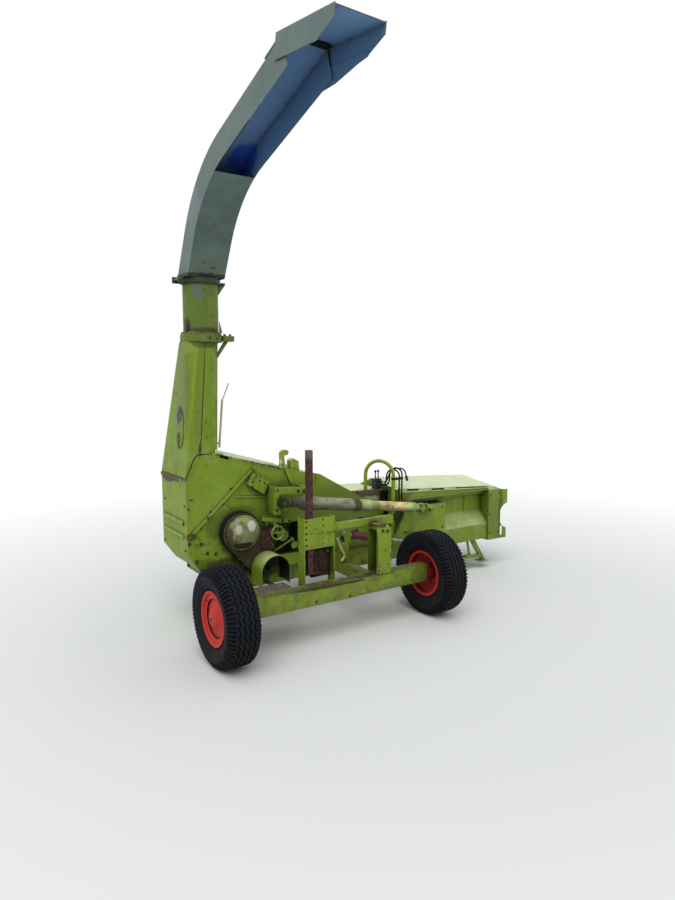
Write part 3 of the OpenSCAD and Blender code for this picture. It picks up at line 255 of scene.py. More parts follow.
def slab(outline, along, low, high):
    """A flat outline made thick: the outline's ring at two heights along an axis number, each
    drawn in to its middle. It suits outlines that bulge outwards everywhere."""
    outline = np.asarray(outline, float)
    middle = outline.mean(0)
    rings = []
    for height, share in ((low, 0), (low, 1), (high, 1), (high, 0)):
        ring = middle + (outline - middle) * share
        rings.append(np.insert(ring, along, height, axis=1))
    return grid(all_at(np.array(rings)), wrap_columns=True)


def brick(low, high):
    """A box between two corners in millimetres."""
    outline = [[low[0], low[1]], [high[0], low[1]], [high[0], high[1]], [low[0], high[1]]]
    return slab(outline, 2, low[2], high[2])


def bolt_heads(places, axis, width):
    """Hexagon heads on washers: rings of twelve points, where a head's rings are drawn in to a
    hexagon's sides, repeated at each place."""
    r = width / math.sqrt(3) * 1000
    side, up = across(axis)
    axis = np.asarray(axis, float) / np.linalg.norm(axis)
    a = np.arange(12)[:, None] * np.pi / 6
    circle = np.cos(a) * side + np.sin(a) * up
    # a hexagon's reach at each of the twelve angles
    hexagon = np.where(np.arange(12)[:, None] % 2 == 0, 1, math.cos(math.pi / 6))
    # height over the sheet and radius as shares of the head's, form
    rings = ((0, 1.35, 1), (0.2, 1.35, 1), (0.24, 1.2, 1), (0.22, 1, hexagon),
             (0.8, 1, hexagon), (0.95, 0.84, hexagon), (0.95, 0, 1))
    points = [r * (height * axis + radius * reach * circle) for height, radius, reach in rings]
    return repeated(grid(np.array(points) / 1000, wrap_columns=True), places)


def folded_sheet(middles, sides, downs, outer, inner):
    """A folded sheet along a path, all in millimetres. Each row is the path's point plus x x
    side + d x down for the (x, d) pairs of its outer line and, backwards, of its inner line,
    which may differ from row to row. Both ends are closed."""
    loop = np.concatenate([outer, np.flip(inner, -2)], -2)
    points, faces = grid(all_at(
        np.expand_dims(middles, 1) + loop[..., :1] * np.expand_dims(sides, -2)
        + loop[..., 1:] * np.expand_dims(downs, -2)), wrap_columns=True)
    count = loop.shape[-2]
    i = np.arange(count // 2 - 1)
    end = np.stack([i, i + 1, count - 2 - i, count - 1 - i], -1)
    return points, np.concatenate([faces, end, end + len(points) - count])


def flat_strip(path, side, down, half, low, high):
    """A flat sheet along a path: half its width to each side, its faces at two depths."""
    return folded_sheet(path, side, down, *(
        [(-half, depth), (half, depth)] for depth in (low, high)))


def placed(name, data, look=None):
    """An object in the scene, turned to look along a direction where one is given."""
    made = bpy.data.objects.new(name, data)
    if look:
        made.rotation_mode = "QUATERNION"
        made.rotation_quaternion = Vector(look).to_track_quat("-Z", "Y")
    bpy.context.scene.collection.objects.link(made)
    return made


def piece(name, mesh, body, finish, smooth_below=35, bevel=0):
    """Puts a mesh into the scene as a piece that rides on a body, or on none. Its seams are
    closed and its faces turned outwards. Edges flatter than an angle are smooth. Its finish was
    made by a former step."""
    points, faces = mesh
    data = bpy.data.meshes.new(name)
    data.from_pydata(points.tolist(), [], faces.tolist())
    work = bmesh.new()
    work.from_mesh(data)
    bmesh.ops.remove_doubles(work, verts=work.verts, dist=2e-6)
    bmesh.ops.dissolve_degenerate(work, edges=work.edges, dist=1e-7)
    bmesh.ops.recalc_face_normals(work, faces=work.faces)
    work.to_mesh(data)
    work.free()
    data.shade_smooth()
    data.set_sharp_from_angle(angle=math.radians(smooth_below))
    data.materials.append(bpy.data.materials[finish])
    made = placed(name, data)
    if bevel:
        edge = made.modifiers.new("edge", "BEVEL")
        edge.width, edge.segments, edge.angle_limit = bevel, 2, math.radians(40)
    if body:
        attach(made, body)
    return made


# ---- materials


def add(tree, kind, inputs=(), out=0, **settings):
    """Adds a node with its settings, and fills each named input with a value or another node's
    output. Gives one of its own outputs, or the node itself where out is None."""
    made = tree.nodes.new(kind)
    for name, value in settings.items():
        setattr(made, name, value)
    for name, value in dict(inputs).items():
        if isinstance(value, bpy.types.NodeSocket):
            tree.links.new(value, made.inputs[name])
        else:
            made.inputs[name].default_value = value
    return made if out is None else made.outputs[out]


def blank(name):
    """A material with an empty tree: it, its tree, and the piece's own place and normal."""
    made = bpy.data.materials.new(name)
    if made.name != name:
        raise ValueError("there is already a material named " + name)
    made.use_nodes = True
    tree = made.node_tree
    tree.nodes.clear()
    coords = add(tree, "ShaderNodeTexCoord", out=None).outputs
    return made, tree, coords["Object"], coords["Normal"]


def rgba(colour):
    """Four channels from a hex colour or from three linear ones."""
    return (*(linear(colour) if isinstance(colour, str) else tuple(colour)), 1.0)


def patches(tree, place, size, cut, soft=0.06, stretch=(1, 1, 1), detail=5.0, shift=0.0):
    """Share from 0 to 1 where a noise with grains of a size in millimetres passes a cut."""
    moved = add(tree, "ShaderNodeMapping", {
        "Vector": place, "Location": (shift, shift * 0.7, shift * 1.3),
        "Scale": tuple(1 / s for s in stretch)})
    noise = add(tree, "ShaderNodeTexNoise", {
        "Vector": moved, "Scale": 1000 / size, "Detail": detail, "Roughness": 0.62})
    return add(tree, "ShaderNodeMapRange", {
        "Value": noise, "From Min": cut - soft, "From Max": cut + soft})


def coats(tree, ground, layers):
    """Lays colours over a ground in order. Each layer is a colour and the shares that are
    multiplied to give how much of it shows."""
    for colour, share, *others in layers:
        for other in others:
            share = add(tree, "ShaderNodeMath", {0: share, 1: other}, operation="MULTIPLY")
        ground = add(tree, "ShaderNodeMix", {0: share, 6: ground, 7: rgba(colour)}, 2,
                     data_type="RGBA")
    return ground


def lay_stains_and_light(tree, place, ground, stains_and_light):
    """Lays local stains and painted light over a ground. Each is an ellipsoid with its middle and
    its half widths in millimetres, turned about Y: it shows where the distance from its middle,
    counted in half widths and made ragged by a noise, stays under 1."""
    if not stains_and_light:
        return ground
    ragged = add(tree, "ShaderNodeTexNoise", {
        "Vector": place, "Scale": 24.0, "Detail": 6.0, "Roughness": 0.65})
    for middle, half, turn, colour, most in stains_and_light:
        inside = add(tree, "ShaderNodeMapping", {
            "Vector": place, "Location": tuple(at(*middle)),
            "Rotation": (0, math.radians(turn), 0), "Scale": tuple(np.array(half) / 1000)},
            vector_type="TEXTURE")
        far = add(tree, "ShaderNodeVectorMath", {0: inside}, "Value", operation="LENGTH")
        loose = add(tree, "ShaderNodeMath", {0: ragged, 1: 1.3, 2: far},
                    operation="MULTIPLY_ADD")
        share = add(tree, "ShaderNodeMapRange", {
            "Value": loose, "From Min": 1.75, "From Max": 1.5, "To Max": most})
        ground = coats(tree, ground, [(colour, share)])
    return ground


def crevices(tree, reach, clear=0.92, hidden=0.3):
    """Share from 0 to 1 in corners: how much of what lies within a reach hides the sky. It
    starts where a share of the sky is still clear, and is full where only the last is left."""
    sky_share = add(tree, "ShaderNodeAmbientOcclusion", {"Distance": reach}, "AO", samples=6)
    return add(tree, "ShaderNodeMapRange", {
        "Value": sky_share, "From Min": clear, "From Max": hidden})


def hollows(tree):
    """Share from 0 to 1 deep inside the machine, where soot and shade gather: the mask of a
    painted shade.
    """
    return crevices(tree, 0.42, 0.7, 0.2)


def worn_and_highlit_edges(tree, width):
    """Share from 0 to 1 on the band along sharp edges, which carries wear and a painted
    highlight: where the rounded normal leaves the true one."""
    rounded = add(tree, "ShaderNodeBevel", {"Radius": width}, samples=4)
    true = add(tree, "ShaderNodeNewGeometry", out="Normal")
    likeness = add(tree, "ShaderNodeVectorMath", {0: rounded, 1: true}, "Value",
                   operation="DOT_PRODUCT")
    return add(tree, "ShaderNodeMapRange", {
        "Value": likeness, "From Min": 0.985, "From Max": 0.88})


def finish_paint(tree, made, colour, rough, bump, strength, **settings):
    """Ends a material: colour and roughness into the shader, a bump over rounded edges."""
    rounded = add(tree, "ShaderNodeBevel", {"Radius": 0.003}, samples=4)
    relief = add(tree, "ShaderNodeBump", {
        "Height": bump, "Strength": strength, "Distance": 0.002, "Normal": rounded})
    shader = add(tree, "ShaderNodeBsdfPrincipled", {
        "Base Color": colour, "Roughness": rough, "Normal": relief,
        **{"Specular IOR Level": 0.3, **settings}})
    add(tree, "ShaderNodeOutputMaterial", {"Surface": shader}, None)
    return made


def enamel(name, base, faded, rust=0.67, bleach_and_sky_sheen=0.8, streak=0.62, mud=0.0, top_dirt=0.0,
           lower=None, under=None, stains_and_light=(), deep=0.85):
    """Brushed machine enamel after decades outdoors. The colour drifts in broad clouds, faces
    that look up are bleached and lightened by a painted sky reflection, and dirty in patches, rain
    leaves streaks on upright faces, corners hold dirt and painted shade, edges are rubbed pale
    and carry a painted highlight, and rust breaks out in spots. Lower is another colour that
    takes over between two heights in metres, and under is a painted shade on faces that look
    down. Deep is how black the painted shade deep inside the machine gets."""
    made, tree, place, normal = blank(name)
    base = np.array(base)
    ground = rgba(base)
    up = add(tree, "ShaderNodeSeparateXYZ", {0: normal}, 2)
    height = add(tree, "ShaderNodeSeparateXYZ", {0: place}, 2)
    if under:
        below = add(tree, "ShaderNodeMapRange", {
            "Value": up, "From Min": -0.25, "From Max": -0.4})
        # painted shade on faces that look down, with darker patches
        ground = coats(tree, ground, [
            (under, below),
            ("#3c4a40", below, patches(tree, place, 150, 0.55, 0.1, (1, 1, 3)), 0.5)])
    if lower:
        colour, low, high = lower
        wavy = add(tree, "ShaderNodeMath", {
            0: patches(tree, place, 90, 0.5, 0.4, (1, 1, 2)), 1: 0.25, 2: height},
            operation="MULTIPLY_ADD")
        share = add(tree, "ShaderNodeMapRange", {
            "Value": wavy, "From Min": high, "From Max": low})
        ground = coats(tree, ground, [(colour, share)])
    facing_up, upright = (add(tree, "ShaderNodeMapRange", {
        "Value": up, "From Min": none, "From Max": full})
        for none, full in ((0.25, 0.75), (0.5, 0.1)))
    near_ground = add(tree, "ShaderNodeMapRange", {
        "Value": height, "From Min": 0.75, "From Max": 0.3, "To Max": mud})
    corner_dirt_and_shade = crevices(tree, 0.06)
    spots = patches(tree, place, 62, rust, 0.02, detail=9.0, shift=5.0)
    edge = worn_and_highlit_edges(tree, bpy.context.scene.harvester_sizes.edge_wear_and_highlight)
    chips = patches(tree, place, 48, 0.57, 0.03, detail=7.0, shift=9.0)
    ground = coats(tree, ground, [
        (base * [0.78, 0.82, 0.76], patches(tree, place, 520, 0.5, 0.2)),
        (base * [1.18, 1.12, 1.1], patches(tree, place, 210, 0.54, 0.2, shift=3.0), 0.5),
        # faces that look up: bleached, and lightened further as a painted sky reflection
        (faded, facing_up, patches(tree, place, 170, 0.38, 0.22, shift=7.0), bleach_and_sky_sheen),
        ("#5a4c33", facing_up, patches(tree, place, 60, 0.5, 0.1, shift=13.0), top_dirt),
        ("#56612a", upright, patches(tree, place, 85, streak, 0.1, (1, 1, 5), shift=1.0), 0.4),
        (faded, upright, patches(tree, place, 150, 0.62, 0.14, shift=17.0), 0.16),
        ("#574b35", near_ground, patches(tree, place, 85, 0.47, 0.14, shift=19.0)),
        # dirt and painted shade in corners
        ("#3c371f", corner_dirt_and_shade, patches(tree, place, 40, 0.42, 0.2, shift=11.0), 0.85),
        # pale rubbed edges, also a painted highlight
        (faded, edge, patches(tree, place, 90, 0.46, 0.14, shift=21.0), 0.75),
        ("#6b4128", patches(tree, place, 62, rust - 0.035, 0.05, detail=9.0, shift=5.0), 0.45),
        ("#4b2f22", spots),
        ("#523628", edge, chips)])
    ground = lay_stains_and_light(tree, place, ground, stains_and_light)
    # painted shade deep inside the machine
    ground = coats(tree, ground, [(base * 0.1, hollows(tree), deep)])
    rough = add(tree, "ShaderNodeMapRange", {"Value": corner_dirt_and_shade, "To Min": 0.5, "To Max": 0.85})
    fine = add(tree, "ShaderNodeTexNoise", {"Vector": place, "Scale": 170.0, "Detail": 3.0})
    relief = add(tree, "ShaderNodeMath", {0: fine, 1: spots}, operation="SUBTRACT")
    return finish_paint(tree, made, ground, rough, relief, 0.22)


def plain_finish(name, first, second, grain, rough=0.7, metallic=0.0, strength=0.2, third=None,
                 stains_and_light=(), gloss=0.3, deep=0.7):
    """A finish of two tones in grains of a size in millimetres, with a third tone in larger spots,
    and painted shade that darkens its corners and the places deep inside the machine."""
    made, tree, place, _ = blank(name)
    share = patches(tree, place, grain, 0.5, 0.14)
    fine = patches(tree, place, max(grain / 6, 6), 0.5, 0.2, shift=2.0)
    dark = np.array(linear(second)) * 0.35
    ground = coats(tree, rgba(first), [
        (second, share), (second, fine, 0.35),
        (third or second, patches(tree, place, grain * 1.7, 0.58, 0.04, shift=6.0)),
        # painted shade in corners
        (dark, crevices(tree, 0.04), 0.8)])
    ground = lay_stains_and_light(tree, place, ground, stains_and_light)
    # painted shade deep inside the machine
    ground = coats(tree, ground, [(dark * 0.4, hollows(tree), deep)])
    roughness = add(tree, "ShaderNodeMapRange", {
        "Value": share, "To Min": rough - 0.08, "To Max": min(rough + 0.1, 1)})
    return finish_paint(tree, made, ground, roughness, fine, strength,
                        **{"Metallic": metallic, "Specular IOR Level": gloss})


# Stains and painted light (shadows, highlights, reflections): middle, half widths (millimetres
# from the machine's zero), turn about Y, colour, share
RUST, SOOT, SHADOW = "#5a3524", "#33281d", "#191811"
HOUSING_STAINS_AND_SHADE = (
    ((-480, 985, 1482), (460, 560, 52), 14.3, "#e2e8b8", 0.95),
    ((-215, 760, 1418), (60, 90, 26), 14.3, RUST, 0.7),
    # painted shade inside the hood
    ((-360, 560, 510), (112, 130, 112), 0, "#1b1a14", 0.95),
    ((950, 880, 996), (210, 14, 26), 2.5, "#5a4632", 0.95),
    ((620, 860, 900), (480, 14, 220), 0, "#6c7c2c", 0.8),
    ((-215, 500, 1080), (84, 62, 84), 0, "#26221c", 0.95),
    ((-962, 700, 1478), (16, 20, 56), 22, RUST, 0.6),
    ((-1050, 760, 1356), (60, 110, 48), 0, "#463224", 0.95),
    ((-1050, 930, 1330), (60, 130, 48), 0, "#463224", 0.95),
    ((-1050, 1120, 1302), (60, 150, 48), 0, "#463224", 0.95),
    ((-1005, 690, 838), (60, 40, 34), 0, RUST, 0.75),
    ((-930, 690, 760), (70, 30, 18), 0, "#5c5a2c", 0.5),
    ((-770, 700, 900), (110, 30, 110), 20, "#4a5a20", 0.6),
    ((-880, 700, 560), (170, 30, 70), 0, "#46411f", 0.5),
    ((-575, 700, 1010), (170, 30, 46), 0, "#5d6a25", 0.6),
    ((-97, 770, 706), (190, 88, 170), 0, SHADOW, 0.96),
    ((-300, 700, 760), (160, 30, 90), 0, "#2d2a1a", 0.9),
    # painted shadow low on the rear sheet
    ((-640, 700, 530), (300, 30, 90), 0, "#34311d", 0.85),
    ((-120, 720, 1190), (110, 40, 70), 0, "#55611f", 0.5),
    ((-470, 640, 1210), (30, 30, 12), -28, SOOT, 0.9),
)
TOWER_STAINS_AND_HIGHLIGHT = (
    ((-1060, 850, 1950), (60, 200, 620), 4, "#6d7c45", 0.55),
    ((-905, 690, 2000), (40, 30, 460), 4, "#707c2c", 0.55),
    # narrow pale strip down the tower's right edge: a painted highlight
    ((-660, 720, 1900), (26, 60, 520), -3, "#98a05a", 0.6),
    ((-908, 700, 1572), (13, 40, 66), 4, RUST, 0.95),
    ((-872, 705, 1960), (4, 60, 420), 4, SOOT, 0.65),
    ((-835, 700, 2430), (150, 60, 34), 0, "#4f4a2a", 0.75),
    ((-1010, 850, 1850), (70, 66, 78), 0, "#4b3642", 0.97),
    ((-1020, 850, 1590), (50, 34, 34), 0, SOOT, 0.85),
    ((-1000, 760, 2050), (70, 60, 330), 0, "#5f7036", 0.5),
    ((-815, 700, 1380), (130, 30, 60), 0, "#9db040", 0.4),
)
NECK_STAINS = (
    ((-815, 700, 2545), (160, 80, 22), 0, "#4a3a26", 0.8),
    ((-958, 800, 2580), (26, 60, 66), 0, "#4a3a34", 0.9),
    ((-672, 790, 2600), (30, 60, 50), 0, "#41422a", 0.8),
    ((-900, 720, 2860), (60, 60, 70), 0, "#5c6b66", 0.6),
    ((-815, 845, 2938), (300, 300, 30), 0, "#34372c", 0.92),
    ((-760, 700, 2700), (60, 40, 120), 0, "#77852c", 0.5),
)
BEAM_STAINS = (
    ((-300, -20, 478), (330, 60, 14), 0, "#4d4526", 0.75),
    ((260, -10, 478), (300, 60, 14), 0, SOOT, 0.7),
    ((640, -10, 478), (160, 60, 12), 0, "#5f6a3c", 0.7),
    ((-60, -55, 462), (300, 20, 13), 0, "#322b18", 0.9),
    ((-330, -55, 470), (160, 20, 10), 0, "#322b18", 0.8),
    ((140, -55, 455), (110, 20, 10), 0, "#3a331d", 0.8),
    ((420, -55, 466), (150, 20, 8), 0, "#4a4422", 0.8),
    ((-560, 0, 478), (220, 60, 10), 0, "#5c6330", 0.8),
    ((360, 0, 680), (26, 90, 230), 0, "#3b4a18", 0.7),
    ((330, -55, 440), (60, 20, 14), 0, "#4a4a22", 0.6),
    ((800, -55, 400), (70, 20, 60), 0, "#60702a", 0.6),
    ((500, -55, 335), (460, 20, 12), 0, "#5f6b28", 0.6),
    ((430, 0, 900), (90, 90, 26), 0, "#46301f", 0.9),
    ((100, 70, 880), (300, 40, 14), 0, "#4a4522", 0.6),
    ((-150, 60, 760), (170, 16, 30), 0, "#6d7e2c", 0.6),
)
HEADER_STAINS = (
    ((2610, 700, 640), (110, 60, 400), 0, "#5d7020", 0.5),
    ((2700, 740, 640), (50, 90, 400), 0, "#3c511c", 0.75),
    ((1330, 700, 800), (150, 40, 60), 0, "#55602a", 0.5),
    ((1290, 700, 940), (110, 40, 30), 0, "#6b5a30", 0.6),
    ((2290, 740, 640), (20, 40, 22), 0, SOOT, 0.8),
    ((2250, 820, 800), (16, 60, 190), 0, "#31401a", 0.6),
    ((1700, 690, 530), (420, 30, 12), 0, "#94a855", 0.5),
    ((1560, 700, 350), (420, 30, 30), 0, "#4a4a24", 0.7),
)
SPOUT_STAINS_AND_REFLECTION = (
    ((-860, 700, 3080), (30, 60, 26), 0, "#5a4630", 0.7),
    ((-770, 720, 3040), (60, 60, 18), 0, "#45412a", 0.7),
    # bluish grey patch on the left side: a painted sky reflection
    ((-980, 600, 3500), (40, 120, 160), 0, "#7d8390", 0.5),
    ((-980, -700, 4230), (60, 260, 60), 0, "#6b7c52", 0.6),
    # bluish grey patch on the left side: a painted sky reflection
    ((-980, 60, 4050), (40, 200, 60), 0, "#5a6b72", 0.6),
    ((-815, 780, 2972), (300, 300, 30), 0, "#2c2c22", 0.9),
)
LID_STAINS = (
    ((950, 880, 990), (240, 16, 40), 2.5, "#5a4632", 0.92),
    ((1060, 900, 1010), (60, 40, 20), 2.5, "#6a5a40", 0.6),
)


def shaft_enamel():
    """Cream tube of the cross shaft: mossy at its left bell, a rusty band, green, bare cream and
    green again, with painted shade on its underside. The bands follow the distance across the
    machine."""
    made, tree, place, normal = blank("shaft_enamel")
    x = add(tree, "ShaderNodeSeparateXYZ", {0: place})
    low, high = (corner[0] / 1000 + ZERO[0] + 0.015 for corner in low_high("cross_shaft"))
    wave = add(tree, "ShaderNodeTexNoise", {"Vector": place, "Scale": 18.0})
    shifted = add(tree, "ShaderNodeMath", {0: wave, 1: 0.03, 2: x}, operation="MULTIPLY_ADD")
    share = add(tree, "ShaderNodeMapRange", {
        "Value": shifted, "From Min": low, "From Max": high})
    ramp = add(tree, "ShaderNodeValToRGB", {0: share}, None)
    # place along the tube from 0 to 1, colour
    bands = ((0.0, "#3a3a33"), (0.1, "#4a473c"), (0.15, "#7c7a70"), (0.2, "#8f8c7e"),
             (0.27, "#9da089"), (0.445, "#98977d"), (0.46, "#46352a"), (0.497, "#3e2e26"),
             (0.507, "#a3b470"), (0.56, "#b4c48a"), (0.635, "#8fa45a"), (0.655, "#e6c888"),
             (0.75, "#efd79c"), (0.855, "#e2c688"), (0.87, "#bbd680"), (1.0, "#b0cb74"))
    while len(ramp.color_ramp.elements) < len(bands):
        ramp.color_ramp.elements.new(0.5)
    for element, (where, colour) in zip(ramp.color_ramp.elements, bands):
        element.position, element.color = where, rgba(colour)
    dirt = patches(tree, place, 60, 0.55, 0.1, (3, 1, 1))
    up = add(tree, "ShaderNodeSeparateXYZ", {0: normal}, 2)
    below = add(tree, "ShaderNodeMapRange", {"Value": up, "From Min": 0.1, "From Max": -0.7})
    colour = coats(tree, ramp.outputs[0], [
        ("#6d7a3a", patches(tree, place, 110, 0.6, 0.1, (2, 1, 1), shift=4.0), 0.5),
        # dirt in patches, then darker green on faces that look down: painted shade
        ("#4e4f33", dirt, 0.6), ("#55602e", below, 0.6),
        ("#5a3d2c", patches(tree, place, 36, 0.64, 0.03, shift=8.0), 0.8)])
    fine = patches(tree, place, 10, 0.5, 0.2)
    rough = add(tree, "ShaderNodeMapRange", {"Value": dirt, "To Min": 0.45, "To Max": 0.8})
    return finish_paint(tree, made, colour, rough, fine, 0.2)


def cad_looks():
    """Each finish with the nodes that wear it."""
    colours = bpy.context.scene.harvester_colours
    lime, pale, sky_tinted_dull = colours.enamel, colours.faded, colours.shade
    green = np.array(lime)
    return (
        # Lime enamel on folded sheet: matt, streaked by rain, rusty where it is rubbed
        (enamel("housing_enamel", lime, pale, stains_and_light=HOUSING_STAINS_AND_SHADE), (
            "chopper_housing", "feed_gearbox", "shaft_hood", "feed_channel")),
        # The same on pressed ribs and bent pipe, which catch more light
        (enamel("rib_enamel", green * 1.12, pale, stains_and_light=HOUSING_STAINS_AND_SHADE), (
            "housing_ribs", "hose_hoop")),
        # The same on the tower, where rain leaves long streaks
        (enamel("tower_enamel", green * 0.97, pale, streak=0.6, stains_and_light=TOWER_STAINS_AND_HIGHLIGHT), (
            "tower", "tower_hatch")),
        # The same greyed by the sap that runs down from the spout
        (enamel("neck_enamel", green * [0.56, 0.58, 1.3], pale, rust=0.63, stains_and_light=NECK_STAINS), (
            "spout_neck", "turntable_ring")),
        # The same near the ground, muddy below and dusty on top
        (enamel("beam_enamel", green, linear("#8f9d5c"), rust=0.64, bleach_and_sky_sheen=0.7, mud=0.7,
                top_dirt=0.9, stains_and_light=BEAM_STAINS), (
            "axle_beam", "frame_rails", "holed_bracket", "right_post", "lift_bracket",
            "drawbar", "front_hinge_arm", "hinge_box")),
        # The same on the header, rubbed by the crop
        (enamel("header_enamel", green * 0.96, pale, rust=0.7, mud=0.4, stains_and_light=HEADER_STAINS), (
            "header_frame", "end_case", "header_stand", "reel")),
        # Grey-green enamel dulled by sap, its blue cast a painted sky reflection: greener at its
        # foot, dark on its underside with painted shade
        (enamel("sky_tinted_dull_enamel", sky_tinted_dull, linear("#8f9f97"), rust=0.7, bleach_and_sky_sheen=0.35, streak=0.7,
                lower=(np.array(linear("#5f7138")), 2.8, 3.4), under="#4e605d",
                stains_and_light=SPOUT_STAINS_AND_REFLECTION), (
            "spout_duct", "end_flap")),
        # Lids that face the sky: bleached almost to cream
        (enamel("bleached_enamel", linear("#b9c790"), linear("#d2d8b2"), rust=0.7, streak=0.66,
                stains_and_light=LID_STAINS), ("channel_lid", "header_deck")),
        # Old cream enamel on bars
        (enamel("rod_enamel", linear("#c9c59c"), linear("#d8d6c0"), rust=0.64), (
            "turning_rod",)),
        (shaft_enamel(), ("cross_shaft",)),
        # Red enamel of the rims: even, a little faded
        (enamel("red_enamel", colours.rim, linear("#d0554a"), rust=0.72, bleach_and_sky_sheen=0.2,
                streak=0.72, mud=0.25), ("left_rim", "right_rim")),
        # Red enamel of the cylinder: oily, bare steel near its ends
        (plain_finish("cylinder_enamel", "#8f2e2a", "#6b2b2e", 70, rough=0.42, third="#4a2b35",
                      stains_and_light=(((560, 520, 672), (110, 60, 60), 0, "#5a3140", 0.85),
                              ((440, 520, 702), (62, 60, 60), 0, "#8f8f8c", 0.95),
                              ((870, 520, 603), (26, 60, 60), 0, "#8f8f8c", 0.9))), (
            "lift_barrel",)),
        # Rolled steel under an even coat of rust: brown, without gloss
        (plain_finish("rusted_steel", "#5b3a2e", "#3c2a25", 40, rough=0.85, strength=0.5,
                      third="#6e4a34", gloss=0.25,
                      stains_and_light=(((-228, 90, 1555), (40, 40, 70), 0, "#6a6a62", 0.8),
                              ((-228, 90, 1000), (40, 40, 220), 0, "#4a2f38", 0.7))), (
            "parking_post",)),
        # Oily old rust: almost black
        (plain_finish("sooty_steel", "#2b211b", "#3f2a22", 44, rough=0.85, strength=0.6,
                      third="#5a3a2c", gloss=0.25), ("bracket_block",)),
        # Flighting that the crop keeps bare: grey, dull metal
        (plain_finish("worn_steel", "#8b8778", "#6c6250", 60, rough=0.5, metallic=0.6), (
            "auger",)),
        # Thin paint on chequer plate, trodden off
        (plain_finish("painted_step", "#6f6259", "#564b43", 50, rough=0.7, third="#7c8a45"), (
            "step_plate",)),
        # Cast iron under old oil and dust: dark, half gloss
        (plain_finish("oiled_case", "#574f43", "#40382c", 130, rough=0.6, strength=0.3,
                      third="#4f5430",
                      stains_and_light=(((-420, 610, 640), (90, 20, 120), 30, "#3b2f28", 0.6),
                              ((-560, 610, 660), (80, 20, 60), 0, "#37311f", 0.8))), (
            "gear_case",)),
        # Pressed steel cover: its paint half flaked off, grey below
        (plain_finish("worn_cover", "#8f8f7a", "#75823c", 66, rough=0.5, strength=0.25,
                      third="#5c4732",
                      stains_and_light=(((-520, 545, 905), (44, 50, 44), 0, "#d5d2c8", 0.9),
                              ((-640, 545, 880), (30, 50, 40), 0, "#c3c4a4", 0.8),
                              ((-600, 560, 740), (100, 40, 30), 0, "#2e2417", 0.95),
                              ((-705, 590, 820), (30, 40, 90), 0, "#43342a", 0.9),
                              ((-580, 545, 960), (50, 40, 24), 0, "#88a030", 0.9))), (
            "hub_dome",)),
        # Ground or plated steel: bright, a little rough
        (plain_finish("bright_steel", "#b4b6b8", "#8d8f90", 60, rough=0.35, metallic=0.9), (
            "lift_rod", "jack_leg", "pto_stub")),
        # Black enamel of the levers: half matt
        (plain_finish("black_enamel", "#232421", "#3a3a33", 40, rough=0.6), ("valve_levers",)),
        # Moulded polythene: waxy yellow, half matt
        (plain_finish("yellow_polythene", "#d3a51e", "#b48a1c", 60, rough=0.55), ("pto_guard",)),
    )


class HARVESTER_OT_finishes(bpy.types.Operator):
    """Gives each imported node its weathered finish, and makes those of the new pieces"""
    bl_idname = "harvester.finishes"
    bl_label = "Finishes"

    def execute(self, context):
        for material, names in cad_looks():
            for name in names:
                NODES[name].data.materials.clear()
                NODES[name].data.materials.append(material)
        # Natural rubber, weathered blue-black, with brownish spots and painted shade in its
        # grooves, little gloss
        plain_finish("natural_rubber", "#17191f", "#20232a", 90, rough=0.6, strength=0.3,
                     third="#25231f", gloss=0.06, deep=0.4)
        # Hose and belt rubber, also the black of sheets and discs that paint shade: smoother and
        # darker than a tyre
        plain_finish("black_rubber_and_shade", "#141512", "#20221c", 30, rough=0.5, gloss=0.15)
        # Zinc-plated bolts after years outdoors: dull grey-brown
        plain_finish("old_zinc", "#57543c", "#3c3726", 22, rough=0.6, metallic=0.2,
                     third="#4a3222")
        # Weld beads under old paint, half rusted
        plain_finish("painted_weld", "#6f7f2e", "#54401f", 26, rough=0.7, strength=0.4)
        plain_finish("rusty_weld", "#5a3826", "#3f2a20", 20, rough=0.85, strength=0.5)
        # Sheets that the crop has polished, painted dark blue, brighter where the chute opens
        blue = context.scene.harvester_colours.lining
        enamel("lining_enamel", blue, np.array(blue) * 1.15, rust=0.74, bleach_and_sky_sheen=0.1, streak=0.8,
               stains_and_light=(((-700, 240, 3800), (110, 170, 130), 0, "#1f49b4", 0.9),), deep=0.3)
        return {"FINISHED"}


# ---- wheels

# in metres: a groove's half widths are those of its mouth and its floor
NOTCHES, NOTCH_DEEP, NOTCH_WIDE = 72, 0.011, 0.010
GROOVES, GROOVE_HALVES = (-0.0605, -0.0205, 0.0205, 0.0605), (0.009, 0.0056)
CROWN_FALL = 0.0012


